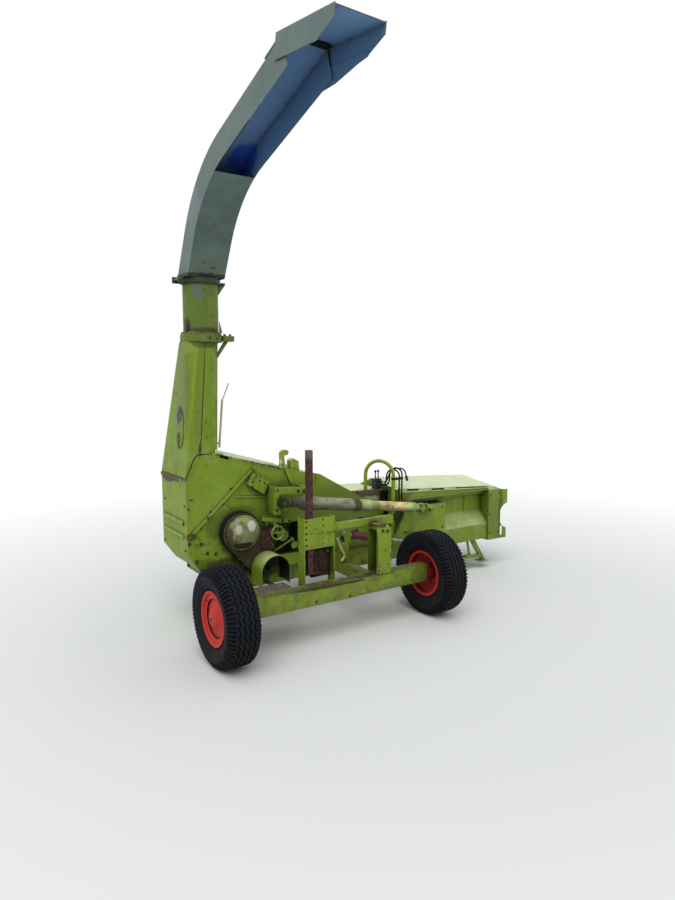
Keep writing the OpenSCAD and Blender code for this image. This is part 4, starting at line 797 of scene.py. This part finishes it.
def tyre_mesh(name, sizes):
    """A ribbed implement tyre. Across the tread, columns of points follow a zigzag:

    across = base + wave x triangle(pitches x angle) x share, radius = crown - depth in a groove.
    On the shoulders and upper sidewalls, short notches repeat round the tyre: in a notch a
    point moves towards the wheel's middle plane and its axis.
    """
    low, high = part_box(name)
    crown = (high[2] - low[2]) / 2 - 0.0002
    pitches, steps = sizes.tread_pitches, 18
    angle = np.linspace(0, 2 * np.pi, pitches * steps, endpoint=False)[:, None]
    zigzag = 2 * np.abs(angle * pitches / (2 * np.pi) % 1 * 2 - 1) - 1
    # one side from the bead to the shoulder: across, radius, share of the notches, millimetres
    side = np.array([
        [80, 194.5, 0], [83.6, 197, 0], [84, 207.5, 0], [86, 210, 0], [95, 217, 0],
        [106, 226, 0], [112, 236, 0], [117.5, 248, 0], [119.5, 249, 0], [120.8, 253, 0],
        [121.6, 260, 0], [127, 280, 0], [130, 296, 0], [131.7, 298, 0], [131.8, 304, 0],
        [130.6, 306, 0], [130.2, 314, 0], [129.8, 320, 0.1], [129.2, 324, 0.8],
        [128.2, 332, 1], [126, 340, 1], [123, 347, 1], [118.6, 354.5, 1], [113.6, 362, 1],
        [108, 368.5, 1], [102, 373, 1], [95, 376, 1], [89, 377.5, 0.9], [85.5, 378, 0.1],
        [83, 378.2, 0]]) / [1000, 1000, 1]
    half, floor = GROOVE_HALVES
    middle = np.array([
        (groove + offset, crown - CROWN_FALL * (groove / GROOVES[-1]) ** 2
         - depth * sizes.rib_depth, 1) for groove in GROOVES
        for offset, depth in ((-half, 0), (-floor, 1), (floor, 1), (half, 0))])
    x = np.concatenate([-side[:, 0], middle[:, 0], side[::-1, 0]])
    r = np.concatenate([side[:, 1], middle[:, 1], side[::-1, 1]])
    wave = np.concatenate([0 * side[:, 0], middle[:, 2], 0 * side[:, 0]])
    notch = np.concatenate([side[:, 2], 0 * middle[:, 0], side[::-1, 2]])
    # a notch fills half of its pitch; the right shoulder's stand half a pitch on
    shifted = (angle * NOTCHES / (2 * np.pi) + np.where(x > 0, 0.5, 0)) % 1
    cut = notch * np.clip(2.6 - np.abs(shifted - 0.5) * 9, 0, 1)
    x = x + wave * sizes.rib_wave * zigzag - np.sign(x) * NOTCH_WIDE * cut
    r = r - NOTCH_DEEP * cut
    points = np.stack([x + 0 * angle, r * np.cos(angle), r * np.sin(angle)], -1)
    # the profile's loop closes under the beads
    return grid(points + centre_of(name), wrap_rows=True, wrap_columns=True)


class HARVESTER_OT_wheels(bpy.types.Operator):
    """Ribbed tyres in place of the plain ones, dished covers, black discs as painted shade of
    the hub holes, and valves
    """
    bl_idname = "harvester.wheels"
    bl_label = "Wheels"

    def execute(self, context):
        # dished cover over the disc, out to a cap on the hub: distance along, radius
        dish = [(84.4, 150), (90, 182), (93, 184), (99, 186), (102, 196), (106, 200),
                (108, 205), (106, 209), (98, 211), (94, 208), (93, 196), (90, 190), (78, 177),
                (69, 162), (67, 142), (76, 122), (78, 96), (90, 76), (103, 64), (113, 46),
                (116, 34), (116, 15), (108, 13), (108, 0), (104, 0), (104, 40), (90, 60),
                (72, 90), (62, 140), (72, 146)]
        # black disc in the cap's middle: painted shade of the hub's hole
        plug = [(108.1, 0), (108.1, 14.5), (113, 14.5), (114, 12), (111, 10), (110, 0)]
        for side, way in (("left", -1), ("right", 1)):
            body, centre = side + "_wheel", centre_of(side + "_tyre")
            tyre = piece(side + "_ribbed_tyre",
                         tyre_mesh(side + "_tyre", context.scene.harvester_sizes), body,
                         "natural_rubber", 30)
            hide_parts(side + "_tyre")
            piece(side + "_wheel_cover", turned(dish, centre, (way, 0, 0), 96), body,
                  "red_enamel")
            piece(side + "_hub_hole_shade", turned(plug, centre, (way, 0, 0), 24), body,
                  "black_rubber_and_shade")
            valve = [centre + [way * x, 0.13, 0.10 + z] for x, z in (
                (0.068, 0), (0.078, 0.002), (0.092, 0.005), (0.1, 0.008))]
            piece(side + "_valve", tube(smooth_path(valve, 6), 0.004, 10), body, "black_rubber_and_shade")
        return {"FINISHED"}


# ---- fasteners


def upright(y, *pairs):
    """Places in one upright plane across the machine: its y, then x and z of each."""
    return [(x, y, z) for x, z in pairs]


def fastener_table():
    """Bolts by body: name, body, direction, width across flats in metres, places in
    millimetres."""
    common = bpy.context.scene.harvester_sizes.bolt_head
    small, large = common * 0.7, common * 1.35
    back = (0, -1, 0)
    neck = np.radians([200, 235, 270, 305, 340, 20, 55, 90, 125, 160])
    flange = [(-815 + 155.5 * math.cos(a), 845 + 155.5 * math.sin(a), 2925.4) for a in neck]
    return (
        ("sheet_bolts", "chassis", back, small, upright(695.9, (-828, 1033), (-1025, 1077),
            (-642, 1213))),
        ("housing_bolts", "chassis", back, common, upright(699.9, (-916, 769), (-991, 877),
            (-1020, 781), (-961, 624), (-864, 681), (-788, 663))),
        ("diagonal_bolts", "chassis", back, small, upright(681.9, (-1000, 862), (-860, 987),
            (-440, 1366))),
        ("left_face_bolts", "chassis", (-1, 0, 0), small, ((-1040.1, 1197, 1096),
            (-1040.1, 740, 1096), (-1040.1, 1230, 720), (-1040.1, 740, 720))),
        ("clamp_bolts", "chassis", back, small, upright(671.9, (-811, 2482))),
        ("clamp_bolt", "chassis", (0.428, -0.904, 0), small, upright(688.5, (-741, 2478))),
        ("case_bolts", "chassis", back, small, upright(609.9, (-708, 744), (-664, 678),
            (-620, 612), (-576, 547), (-532, 482), (-420, 868), (-384, 797), (-348, 726),
            (-312, 655))),
        ("gearbox_bolts", "chassis", back, common, ((-191, 599.9, 898), (-120, 599.9, 884),
            (-276, 544.9, 1010), (0, 544.9, 1152), (-60, 544.9, 1160))),
        ("plate_bolts", "chassis", back, small, upright(647.9, (-455, 1262), (-420, 1308),
            (-310, 1222))),
        ("post_bolts", "chassis", back, common, upright(-55.1, (424, 851), (474, 842))),
        ("bracket_bolts", "chassis", back, common, upright(92, (-190, 720), (-120, 720),
            (-50, 720))),
        ("hinge_bolts", "chassis", back, small, upright(461.9, (1314, 832), (1364, 832),
            (1314, 888), (1364, 888))),
        ("flange_bolts", "neck", (0, 0, -1), small * 0.8, flange),
        ("end_case_bolts", "header", back, small, upright(679.9, (2530, 400), (2530, 620),
            (2530, 840), (2680, 400), (2680, 840))),
        ("panel_bolts", "header", back, small, upright(699.9, (1240, 560), (1820, 560),
            (1820, 780))),
        ("pin_head", "drawbar_body", (0, 0, 1), large, upright(1580, (-160, 452.1))),
    )


class HARVESTER_OT_fasteners(bpy.types.Operator):
    """Bolt heads on their washers, group by group"""
    bl_idname = "harvester.fasteners"
    bl_label = "Bolts"

    def execute(self, context):
        for name, body, axis, width, places in fastener_table():
            piece(name, bolt_heads(all_at(places), axis, width), body, "old_zinc")
        return {"FINISHED"}


# ---- welds, seams and linings

# the spout's top line: slopes in radians, lengths and places in millimetres
FOOT_ANGLE, END_ANGLE, FLAP_FALL = np.radians([62, 17, 9])
SPOUT_BEND, SPOUT_FOOT, SPOUT_RUN, SPOUT_HALF, SPOUT_DEPTH = 1150, 400, 955, 160, 200
NECK_X, NECK_Y, SPOUT_BASE = -815, 845, 2966


def spout_line(steps=30):
    """Rows of the spout's top line, from its flange: a straight foot, an arc and a straight end.
    Gives its points in millimetres and, for each, the direction that leads down to the
    underside."""
    a = np.linspace(FOOT_ANGLE, END_ANGLE, steps)
    start = np.array([-90.0, SPOUT_BASE])
    bend = (start + SPOUT_FOOT * np.array([math.cos(FOOT_ANGLE), math.sin(FOOT_ANGLE)])
            + SPOUT_BEND * np.stack([math.sin(FOOT_ANGLE) - np.sin(a),
                                     np.cos(a) - math.cos(FOOT_ANGLE)], -1))
    end = bend[-1] + SPOUT_RUN * np.array([math.cos(END_ANGLE), math.sin(END_ANGLE)])
    rear, height = np.concatenate([[start], bend, [end]]).T
    a = np.concatenate([a[:1], a, a[-1:]])
    points = np.stack([0 * rear + NECK_X, NECK_Y - rear, height], -1)
    return points, np.stack([0 * a, -np.sin(a), -np.cos(a)], -1)


def channel_lines(half, top, deep, sheet=1.6):
    """Outer and inner line of a U-shaped lining: down one side, over the top and down the
    other, for each of its rows where they are not equally deep."""
    deep = np.atleast_1d(deep)[:, None]
    return [np.stack([(half - inset) * np.array([-1, -1, 1, 1]) + 0 * deep,
                      np.where([True, False, False, True], deep, top + inset)], -1)
            for inset in (0, sheet)]


def weld_bead(path, radius, helper, step=2.6):
    """A weld bead: a bar along a line in millimetres whose radius ripples with the welder's
    steps, radius x (1 + 0.16 sin(way))."""
    line = even_path(path, step)
    ripple = radius / 1000 * (1 + 0.16 * np.sin(np.arange(len(line)) * 2.1))
    return tube(all_at(line), ripple, 8, helper)


def neck_ring(z, radius, count=72):
    """A closed circle about the neck's axis, in millimetres."""
    a = np.linspace(0, 2 * np.pi, count)
    return np.stack([NECK_X + radius * np.cos(a), NECK_Y + radius * np.sin(a), 0 * a + z], -1)


class HARVESTER_OT_sheets(bpy.types.Operator):
    """Blue linings of the spout and its flap, rubber strips, a dark sheet of painted shade
    behind the deck's slots, seams and weld beads
    """
    bl_idname = "harvester.sheets"
    bl_label = "Linings and welds"

    def execute(self, context):
        points, downs = spout_line()
        tip = points[-1]
        lines = channel_lines(SPOUT_HALF - 4.3, 4.3, SPOUT_DEPTH - 5)
        piece("spout_lining", folded_sheet(points[4:], RIGHT, downs[4:], *lines), "spout",
              "lining_enamel")
        # the flap's own line: level with its top sheet, and the depth of its sides along it
        along = np.array([30, 130, 260, 413, 470, 520, 572.0])[:, None]
        lines = channel_lines(165.7, -9.7, [127.5, 126.5, 125.5, 123.5, 96, 70, 45.5])
        fall = np.array([0, -math.cos(FLAP_FALL), -math.sin(FLAP_FALL)])
        down = np.array([0, math.sin(FLAP_FALL), -math.cos(FLAP_FALL)])
        piece("flap_lining", folded_sheet(tip + along * fall, RIGHT, down, *lines), "flap",
              "lining_enamel")
        # cheek inside the flap's right side: distances along the flap and down from its hinge
        cheek = np.array([(-60, 100), (-60, 226), (-39, 233), (116, 212), (345, 147),
                          (440, 128), (440, 100)])
        rows = tip + cheek[:, :1] * fall + cheek[:, 1:] * down
        piece("flap_cheek", slab(rows[:, 1:], 0, NECK_X + 161.8, NECK_X + 163.8), "flap",
              "lining_enamel")
        # rubber strip over the hinge's gap, from the spout's last sheet to the flap's first
        way = np.linspace(-62, 72, 24)[:, None]
        run = np.array([0, -math.cos(END_ANGLE), math.sin(END_ANGLE)])
        strip = tip + np.where(way < 0, way * run, way * fall)
        hinge = piece("hinge_strip", flat_strip(strip, RIGHT, down, 150, 4.6, 6.4), None,
                      "black_rubber_and_shade", 60)
        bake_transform(hinge)
        # dark sheet behind the deck's slots as painted shade; the slots fall by 3.9 degrees to the
        # right
        x = np.linspace(1300, 2500, 20)
        slot_shade = np.stack([x, 0 * x + 721, 1008 - (x - 1200) * math.tan(math.radians(3.9))], -1)
        piece("deck_slot_shade", flat_strip(slot_shade, UP, FRONT, 20, -1, 1), "header", "black_rubber_and_shade", 60)
        # rubber apron from the channel's end to the header, its black also a painted shade over
        # the gap
        x = np.linspace(1100, 1197, 20)
        apron = np.stack([x, 0 * x + 857, 0 * x + 925], -1)
        apron = piece("channel_apron", flat_strip(apron, UP, FRONT, 70, -1.5, 1.5), None,
                      "black_rubber_and_shade", 60)
        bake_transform(apron)
        edge = SPOUT_HALF - 2.2
        seams = [weld_bead(points + [x, 0, 0], 2, RIGHT, 5) for x in (-edge, edge)]
        piece("spout_seams", joined(seams), "spout", "sky_tinted_dull_enamel")
        # rust under the left side where the underside opens, up to the run's middle
        lip = np.concatenate([points[24:31], points[30:31] + 0.45 * (points[31:] - points[30:31])])
        lip = lip + np.concatenate([downs[24:31], downs[30:31]]) * (
            SPOUT_DEPTH - 1) + [-SPOUT_HALF + 2.4, 0, 0]
        piece("spout_lip", weld_bead(lip, 4, RIGHT, 5), "spout", "rusty_weld")
        # jagged seam on the rear sheet: distance across, height
        rusty = [(x, 699, z) for x, z in (
            (-1036, 1338), (-1004, 1396), (-987, 1442), (-966, 1485), (-938, 1519),
            (-884, 1524), (-810, 1519))]
        piece("housing_seam", weld_bead(rusty, 4.5, FRONT), "chassis", "rusty_weld")
        # line, radius, direction across it
        beads = [weld_bead(*row) for row in (
            ([(360, -54, 476), (360, 55, 476)], 4.5, UP),
            ([(516, -54, 476), (516, 55, 476)], 4.5, UP),
            ([(-295, 54, 475), (5, 54, 475)], 4.5, FRONT),
            ([(360, 71, 871), (516, 71, 871)], 4, FRONT),
            ([(5, 71, 872), (5, 71, 940)], 4, FRONT),
            (neck_ring(2451, 148), 4, UP),
            ([(-908, 699.5, 1346), (-906, 699, 1520)], 3, FRONT))]
        piece("frame_welds", joined(beads), "chassis", "painted_weld")
        rings = [weld_bead(neck_ring(z, 146.5), 4, UP) for z in (2532, 2924.5)]
        piece("neck_welds", joined(rings), "neck", "painted_weld")
        # lip where two sheets of the tower's rear meet, over its whole height
        line = even_path([(-906, 700, 1530), (-842, 700, 2436)], 12)
        piece("tower_seam", tube(all_at(line), 0.0022, 8, FRONT), "chassis", "rusty_weld")
        return {"FINISHED"}


# ---- belts, covers and the step


def belt_loop(first, second, radii, y, proud=9, width=16):
    """A V-belt round two pulleys: its path is the arc round each, joined by straight runs. At
    each point, the belt's corners lie along the outward direction and along Y."""
    first, second = np.array(first, float), np.array(second, float)
    way = second - first
    lean = math.atan2(way[1], way[0])
    spread = math.acos((radii[0] - radii[1]) / np.linalg.norm(way))
    rounds = (np.linspace(lean + spread, lean - spread + 2 * math.pi, 40),
              np.linspace(lean - spread, lean + spread, 32))
    angle = np.concatenate(rounds)[:, None]
    counts = [len(part) for part in rounds]
    middle = np.repeat([first, second], counts, axis=0)
    # corners: distance outwards, distance along Y
    corners = np.array([[0, -width * 0.36], [proud - 2, -width / 2], [proud, -width * 0.42],
                        [proud, width * 0.42], [proud - 2, width / 2], [0, width * 0.36]])
    reach = np.repeat(radii, counts)[:, None] + corners[:, 0]
    points = np.stack([middle[:, :1] + reach * np.cos(angle),
                       np.broadcast_to(y + corners[:, 1], reach.shape),
                       middle[:, 1:] + reach * np.sin(angle)], -1)
    return grid(all_at(points), wrap_rows=True, wrap_columns=True)


def chequer_marks(name, pitch=27):
    """Lozenges on a plate: a ring of eight points on it, a smaller one above and its middle,
    (13 cos a, 5 sin a), turned by 45 degrees one way and the other in turn."""
    low, high = low_high(name)
    a = np.arange(8) * np.pi / 4
    mark = np.array([np.stack([13 * s * np.cos(a), 5 * s * np.sin(a), 0 * a + h], -1)
                     for s, h in ((1, -0.1), (0.72, 1.7), (0, 2.1))]) / 1000
    x, y = np.meshgrid(np.arange(low[0] + 20, high[0] - 15, pitch),
                       np.arange(low[1] + 20, high[1] - 15, pitch))
    odd = (np.arange(x.size).reshape(x.shape) + np.arange(len(x))[:, None]) % 2 == 0
    marks = []
    for turn, chosen in ((0.785, odd), (-0.785, ~odd)):
        spun = mark @ np.array([[math.cos(turn), math.sin(turn), 0],
                                [-math.sin(turn), math.cos(turn), 0], [0, 0, 1]])
        places = np.stack([x[chosen], y[chosen], np.full(chosen.sum(), high[2])], -1)
        marks.append(repeated(grid(spun, wrap_columns=True), all_at(places)))
    return joined(marks)


class HARVESTER_OT_drives(bpy.types.Operator):
    """Belts round the case, its rusty cover, the dome's plug and the chequered step"""
    bl_idname = "harvester.drives"
    bl_label = "Belts and step"

    def execute(self, context):
        hub, drum = (-581, 838), (-360, 510)
        belts = [belt_loop(hub, drum, (170.4, 122.4), y) for y in (630, 651, 672)]
        piece("drive_belts", joined(belts), "chassis", "black_rubber_and_shade")
        outline = [(-404, 672), (-394, 663), (-302, 663), (-292, 672), (-292, 828), (-302, 838),
                   (-382, 838), (-404, 806)]
        piece("rusty_cover", slab(outline, 1, 603, 609.7), "chassis", "rusted_steel",
              bevel=0.0015)
        # black sheet inside the hood as painted shade: down its left side, over and down its right
        # side
        a = np.linspace(math.pi, 0, 25)
        outwards = np.stack([np.cos(a), 0 * a, np.sin(a)], -1)[[0, *range(25), -1]]
        arch = 133.4 * outwards
        arch[[0, -1], 2] = -110
        piece("hood_shade_sheet", flat_strip(arch + [-360, 512, 510], FRONT, -outwards, 90, 0, 1.5),
              "chassis", "black_rubber_and_shade", 40)
        plug = turned([(-6, 20), (0, 26), (4, 26), (6, 22), (6, 15), (2, 13), (1, 0)],
                      at(-604, 552, 852), (-0.1, -1, 0.08), 28)
        piece("dome_plug", plug, "chassis", "black_rubber_and_shade")
        band = turned([(0, 156.4), (0, 161), (7, 161), (7, 156.4)], at(-575, 610, 838),
                      -FRONT, 64)
        piece("dome_band", band, "chassis", "rusted_steel")
        piece("chequer_marks", chequer_marks("step_plate"), "chassis", "painted_step")
        return {"FINISHED"}


# ---- hydraulics and small controls

# bend radius in millimetres, and how a hose's rings are turned
HOSE_BEND, HOSE_SIDE = 62, (0.2, 0.1, 0.05)


def hose(name, corners, radius, sides):
    """A hose on the chassis: a tube along corners in millimetres that an arc rounds. Gives the
    piece and its path."""
    path = even_path(all_at(bent_path(corners, HOSE_BEND)), 0.008)
    made = piece(name, tube(path, radius, sides, HOSE_SIDE), "chassis", "black_rubber_and_shade", 60)
    return made, path


def hose_fitting(place, axis, radius=9):
    """A crimped hose end with its nut, turned: a nut, a waist and a ribbed sleeve."""
    # distance along, radius as a share of the sleeve's
    profile = [(0, 0), (0, 1.25), (12, 1.25), (13, 0.8), (18, 0.8), (19, 1.1), (24, 1.1), (25, 1),
               (30, 1), (31, 1.1), (40, 1.1), (41, 0)]
    return turned(np.array(profile) * [1, radius], place, axis, 20)


class HARVESTER_OT_hydraulics(bpy.types.Operator):
    """Hoses from the valve block over the hoop to the lift cylinder, their fittings and clips,
    the cylinder's pipe, the curved lever and the jack's crank"""
    bl_idname = "harvester.hydraulics"
    bl_label = "Hoses and fittings"

    def execute(self, context):
        # routes in millimetres: from the valve block's rear, over the leg's clip, down beside
        # the hoop's leg and along under the shaft to a port on the barrel
        routes = {
            "lower_hose": [
                (1082, 842, 1070), (1082, 745, 1070), (1100, 745, 1236), (1163, 630, 1236),
                (1163, 630, 775), (536, 523, 842), (536, 520, 748)],
            "upper_hose": [
                (1118, 842, 1070), (1118, 738, 1070), (1134, 738, 1252), (1190, 622, 1252),
                (1190, 622, 735), (566, 523, 818), (566, 520, 742)],
        }
        for name, corners in routes.items():
            made, path = hose(name, corners, 0.008, 12)
        # the loose end hooks over the hoop and ends in its coupling
        made, path = hose("coupling_hose", [
            (1100, 842, 1098), (1101, 760, 1100), (1122, 712, 1244), (1244, 650, 1248),
            (1262, 642, 1166)], 0.007, 14)
        nose = turned([(-2, 0), (-2, 12), (14, 12), (15, 15), (34, 15), (36, 12), (48, 12),
                       (50, 8), (50, 0)], path[-1], path[-1] - path[-3], 20)
        plug = piece("hose_coupling", nose, "chassis", "old_zinc")
        ends = [hose_fitting(at(x, 884, z), -FRONT) for x, z in (
            (1082, 1070), (1118, 1070), (1100, 1098))]
        piece("valve_fittings", joined(ends), "chassis", "old_zinc")
        ports = [hose_fitting(at(x, 520, z), (-0.02, 0, 1)) for x, z in ((536, 709), (566, 702))]
        piece("barrel_fittings", joined(ports), "lift_cylinder", "old_zinc")
        # steel pipe along the barrel's underside, from the eye's end to the gland: distance
        # along the barrel and down from its axis, which falls to the right
        lean = math.atan2(225, 970)
        along = np.array([math.cos(lean), 0, -math.sin(lean)])
        under = np.array([-math.sin(lean), 0, -math.cos(lean)])
        pipe = [np.array([430, 520, 705]) + s * along + d * under for s, d in (
            (96, 30), (98, 44), (116, 50), (200, 50), (320, 50), (400, 50), (418, 46),
            (422, 36))]
        piece("barrel_pipe", tube(all_at(smooth_path(pipe, 8)), 0.006, 10, FRONT),
              "lift_cylinder", "bright_steel", 60)
        # two clamps on the hoop's leg hold the hoses, as bands with a tail
        heights = 900, 1140
        clips = [turned([(0, 20.2), (0, 23), (22, 23), (22, 20.2)], at(1110, 659.3, z), UP, 28)
                 for z in heights]
        clips += [brick((1120, 617, z), (1203, 644, z + 22)) for z in heights]
        piece("hose_clips", joined(clips), "chassis", "black_rubber_and_shade")
        # curved lever on the pedestal: a flat grip above, a hook below
        lever = smooth_path([(308, 470, 693), (337, 470, 619), (368, 470, 560),
                             (383, 470, 511), (353, 470, 471)], 10)
        piece("curved_lever", tube(all_at(lever), 0.012, 12, FRONT), "chassis", "rod_enamel", 60)
        # crank of the parking jack: distance to the left of its leg, height
        jack_x, jack_y = -280, 1840
        crank = smooth_path([(jack_x - x, jack_y, z) for x, z in (
            (0, 698), (0, 722), (12, 738), (60, 742), (118, 744), (132, 756), (134, 790),
            (134, 850))], 8)
        piece("jack_crank", tube(all_at(crank), 0.008, 12, FRONT), "drawbar_body", "old_zinc", 60)
        grip = turned([(0, 12), (2, 15), (70, 15), (74, 12), (74, 0)],
                      at(jack_x - 134, jack_y, 786), UP, 20)
        piece("crank_grip", grip, "drawbar_body", "black_rubber_and_shade")
        return {"FINISHED"}


# ---- stage

FLOOR_HALF = 30.0
# the photograph was taken from behind, at the left, from a raised arm's height: place in
# millimetres, angles in degrees, focal length as a share of the picture's height
CAMERA_PLACE, CAMERA_YAW, CAMERA_PITCH = (-3011.5, -4431.5, 2177.6), 34.11, 6.46
CAMERA_FOCAL = 660.9 / 900


def seen_straight(tree):
    """1 for a ray from the camera, a mirror or glass, and 0 for light."""
    seen = add(tree, "ShaderNodeLightPath", out=None).outputs
    looks = add(tree, "ShaderNodeMath", {0: seen["Is Camera Ray"], 1: seen["Is Glossy Ray"]},
                operation="ADD")
    return add(tree, "ShaderNodeMath", {0: looks, 1: seen["Is Transmission Ray"]},
               operation="ADD", use_clamp=True)


def studio_floor():
    """A pale floor that turns to white far from the machine, seen straight or in a reflection."""
    made, tree, place, _ = blank("studio_floor")
    far = add(tree, "ShaderNodeVectorMath", {0: place}, "Value", operation="LENGTH")
    share = add(tree, "ShaderNodeMapRange", {"Value": far, "From Min": 2.6, "From Max": 7.0})
    both_shares = add(tree, "ShaderNodeMath", {0: share, 1: seen_straight(tree)},
                      operation="MULTIPLY")
    matt = add(tree, "ShaderNodeBsdfDiffuse", {"Color": rgba("#d9d9d5")})
    white = add(tree, "ShaderNodeEmission", {"Color": (1, 1, 1, 1), "Strength": 1.0})
    both = add(tree, "ShaderNodeMixShader", {0: both_shares, 1: matt, 2: white})
    add(tree, "ShaderNodeOutputMaterial", {"Surface": both}, None)
    return made


def sky():
    """Pale light from all round, brightest overhead, and white where it is seen."""
    world = bpy.data.worlds.new("studio")
    world.use_nodes = True
    tree = world.node_tree
    tree.nodes.clear()
    # brightness rises from the horizon to straight overhead
    way = add(tree, "ShaderNodeTexCoord", out="Generated")
    rise = add(tree, "ShaderNodeSeparateXYZ", {0: way}, 2)
    strength = add(tree, "ShaderNodeMapRange", {"Value": rise, "To Min": 0.34, "To Max": 1.16})
    light = add(tree, "ShaderNodeBackground", {"Color": rgba("#e4e9ee"), "Strength": strength})
    white = add(tree, "ShaderNodeBackground", {"Color": (1, 1, 1, 1), "Strength": 1.0})
    both = add(tree, "ShaderNodeMixShader", {0: seen_straight(tree), 1: light, 2: white})
    add(tree, "ShaderNodeOutputWorld", {"Surface": both}, None)
    return world


class HARVESTER_OT_stage(bpy.types.Operator):
    """Floor, soft light and the camera at the photograph's angle"""
    bl_idname = "harvester.stage"
    bl_label = "Stage"

    def execute(self, context):
        scene = context.scene
        scene.view_settings.view_transform = "Standard"
        scene.world = sky()
        data = bpy.data.meshes.new("floor")
        flat, faces = grid(np.array([[[x, y, 0] for x in (-FLOOR_HALF, FLOOR_HALF)]
                                     for y in (-FLOOR_HALF, FLOOR_HALF)]))
        data.from_pydata(flat.tolist(), [], faces.tolist())
        data.materials.append(studio_floor())
        placed("floor", data)
        # an overcast sky's soft light from high at the left
        sun = bpy.data.lights.new("soft_key", "SUN")
        sun.energy, sun.angle = 1.5, math.radians(50)
        placed("soft_key", sun, (0.45, 0.5, -1.0))
        data = bpy.data.cameras.new("camera")
        data.sensor_width, data.lens = 36.0, 36.0 * CAMERA_FOCAL
        yaw, pitch = math.radians(CAMERA_YAW), math.radians(CAMERA_PITCH)
        camera = placed("camera", data, (
            math.sin(yaw) * math.cos(pitch), math.cos(yaw) * math.cos(pitch), -math.sin(pitch)))
        camera.location = at(*CAMERA_PLACE)
        scene.camera = camera
        return {"FINISHED"}


class HARVESTER_PT_panel(bpy.types.Panel):
    bl_label = "Forage harvester"
    bl_idname = "HARVESTER_PT_panel"
    bl_space_type = "VIEW_3D"
    bl_region_type = "UI"
    bl_category = "Harvester"

    def draw(self, context):
        for group in (context.scene.harvester_sizes, context.scene.harvester_colours):
            for name in group.__annotations__:
                self.layout.prop(group, name)
        for step in STEPS:
            self.layout.operator(step.bl_idname)


STEPS = (HARVESTER_OT_stage, HARVESTER_OT_finishes, HARVESTER_OT_hydraulics,
         HARVESTER_OT_wheels, HARVESTER_OT_fasteners, HARVESTER_OT_sheets,
         HARVESTER_OT_drives)
CLASSES = (HarvesterSizes, HarvesterColours, *STEPS, HARVESTER_PT_panel)


def register():
    for made in CLASSES:
        bpy.utils.register_class(made)
    bpy.types.Scene.harvester_sizes = PointerProperty(type=HarvesterSizes)
    bpy.types.Scene.harvester_colours = PointerProperty(type=HarvesterColours)


def unregister():
    del bpy.types.Scene.harvester_colours
    del bpy.types.Scene.harvester_sizes
    for made in reversed(CLASSES):
        bpy.utils.unregister_class(made)


def main():
    register()
    for step in STEPS:
        group, name = step.bl_idname.split(".")
        getattr(getattr(bpy.ops, group), name)()


if __name__ == "__main__":
    main()
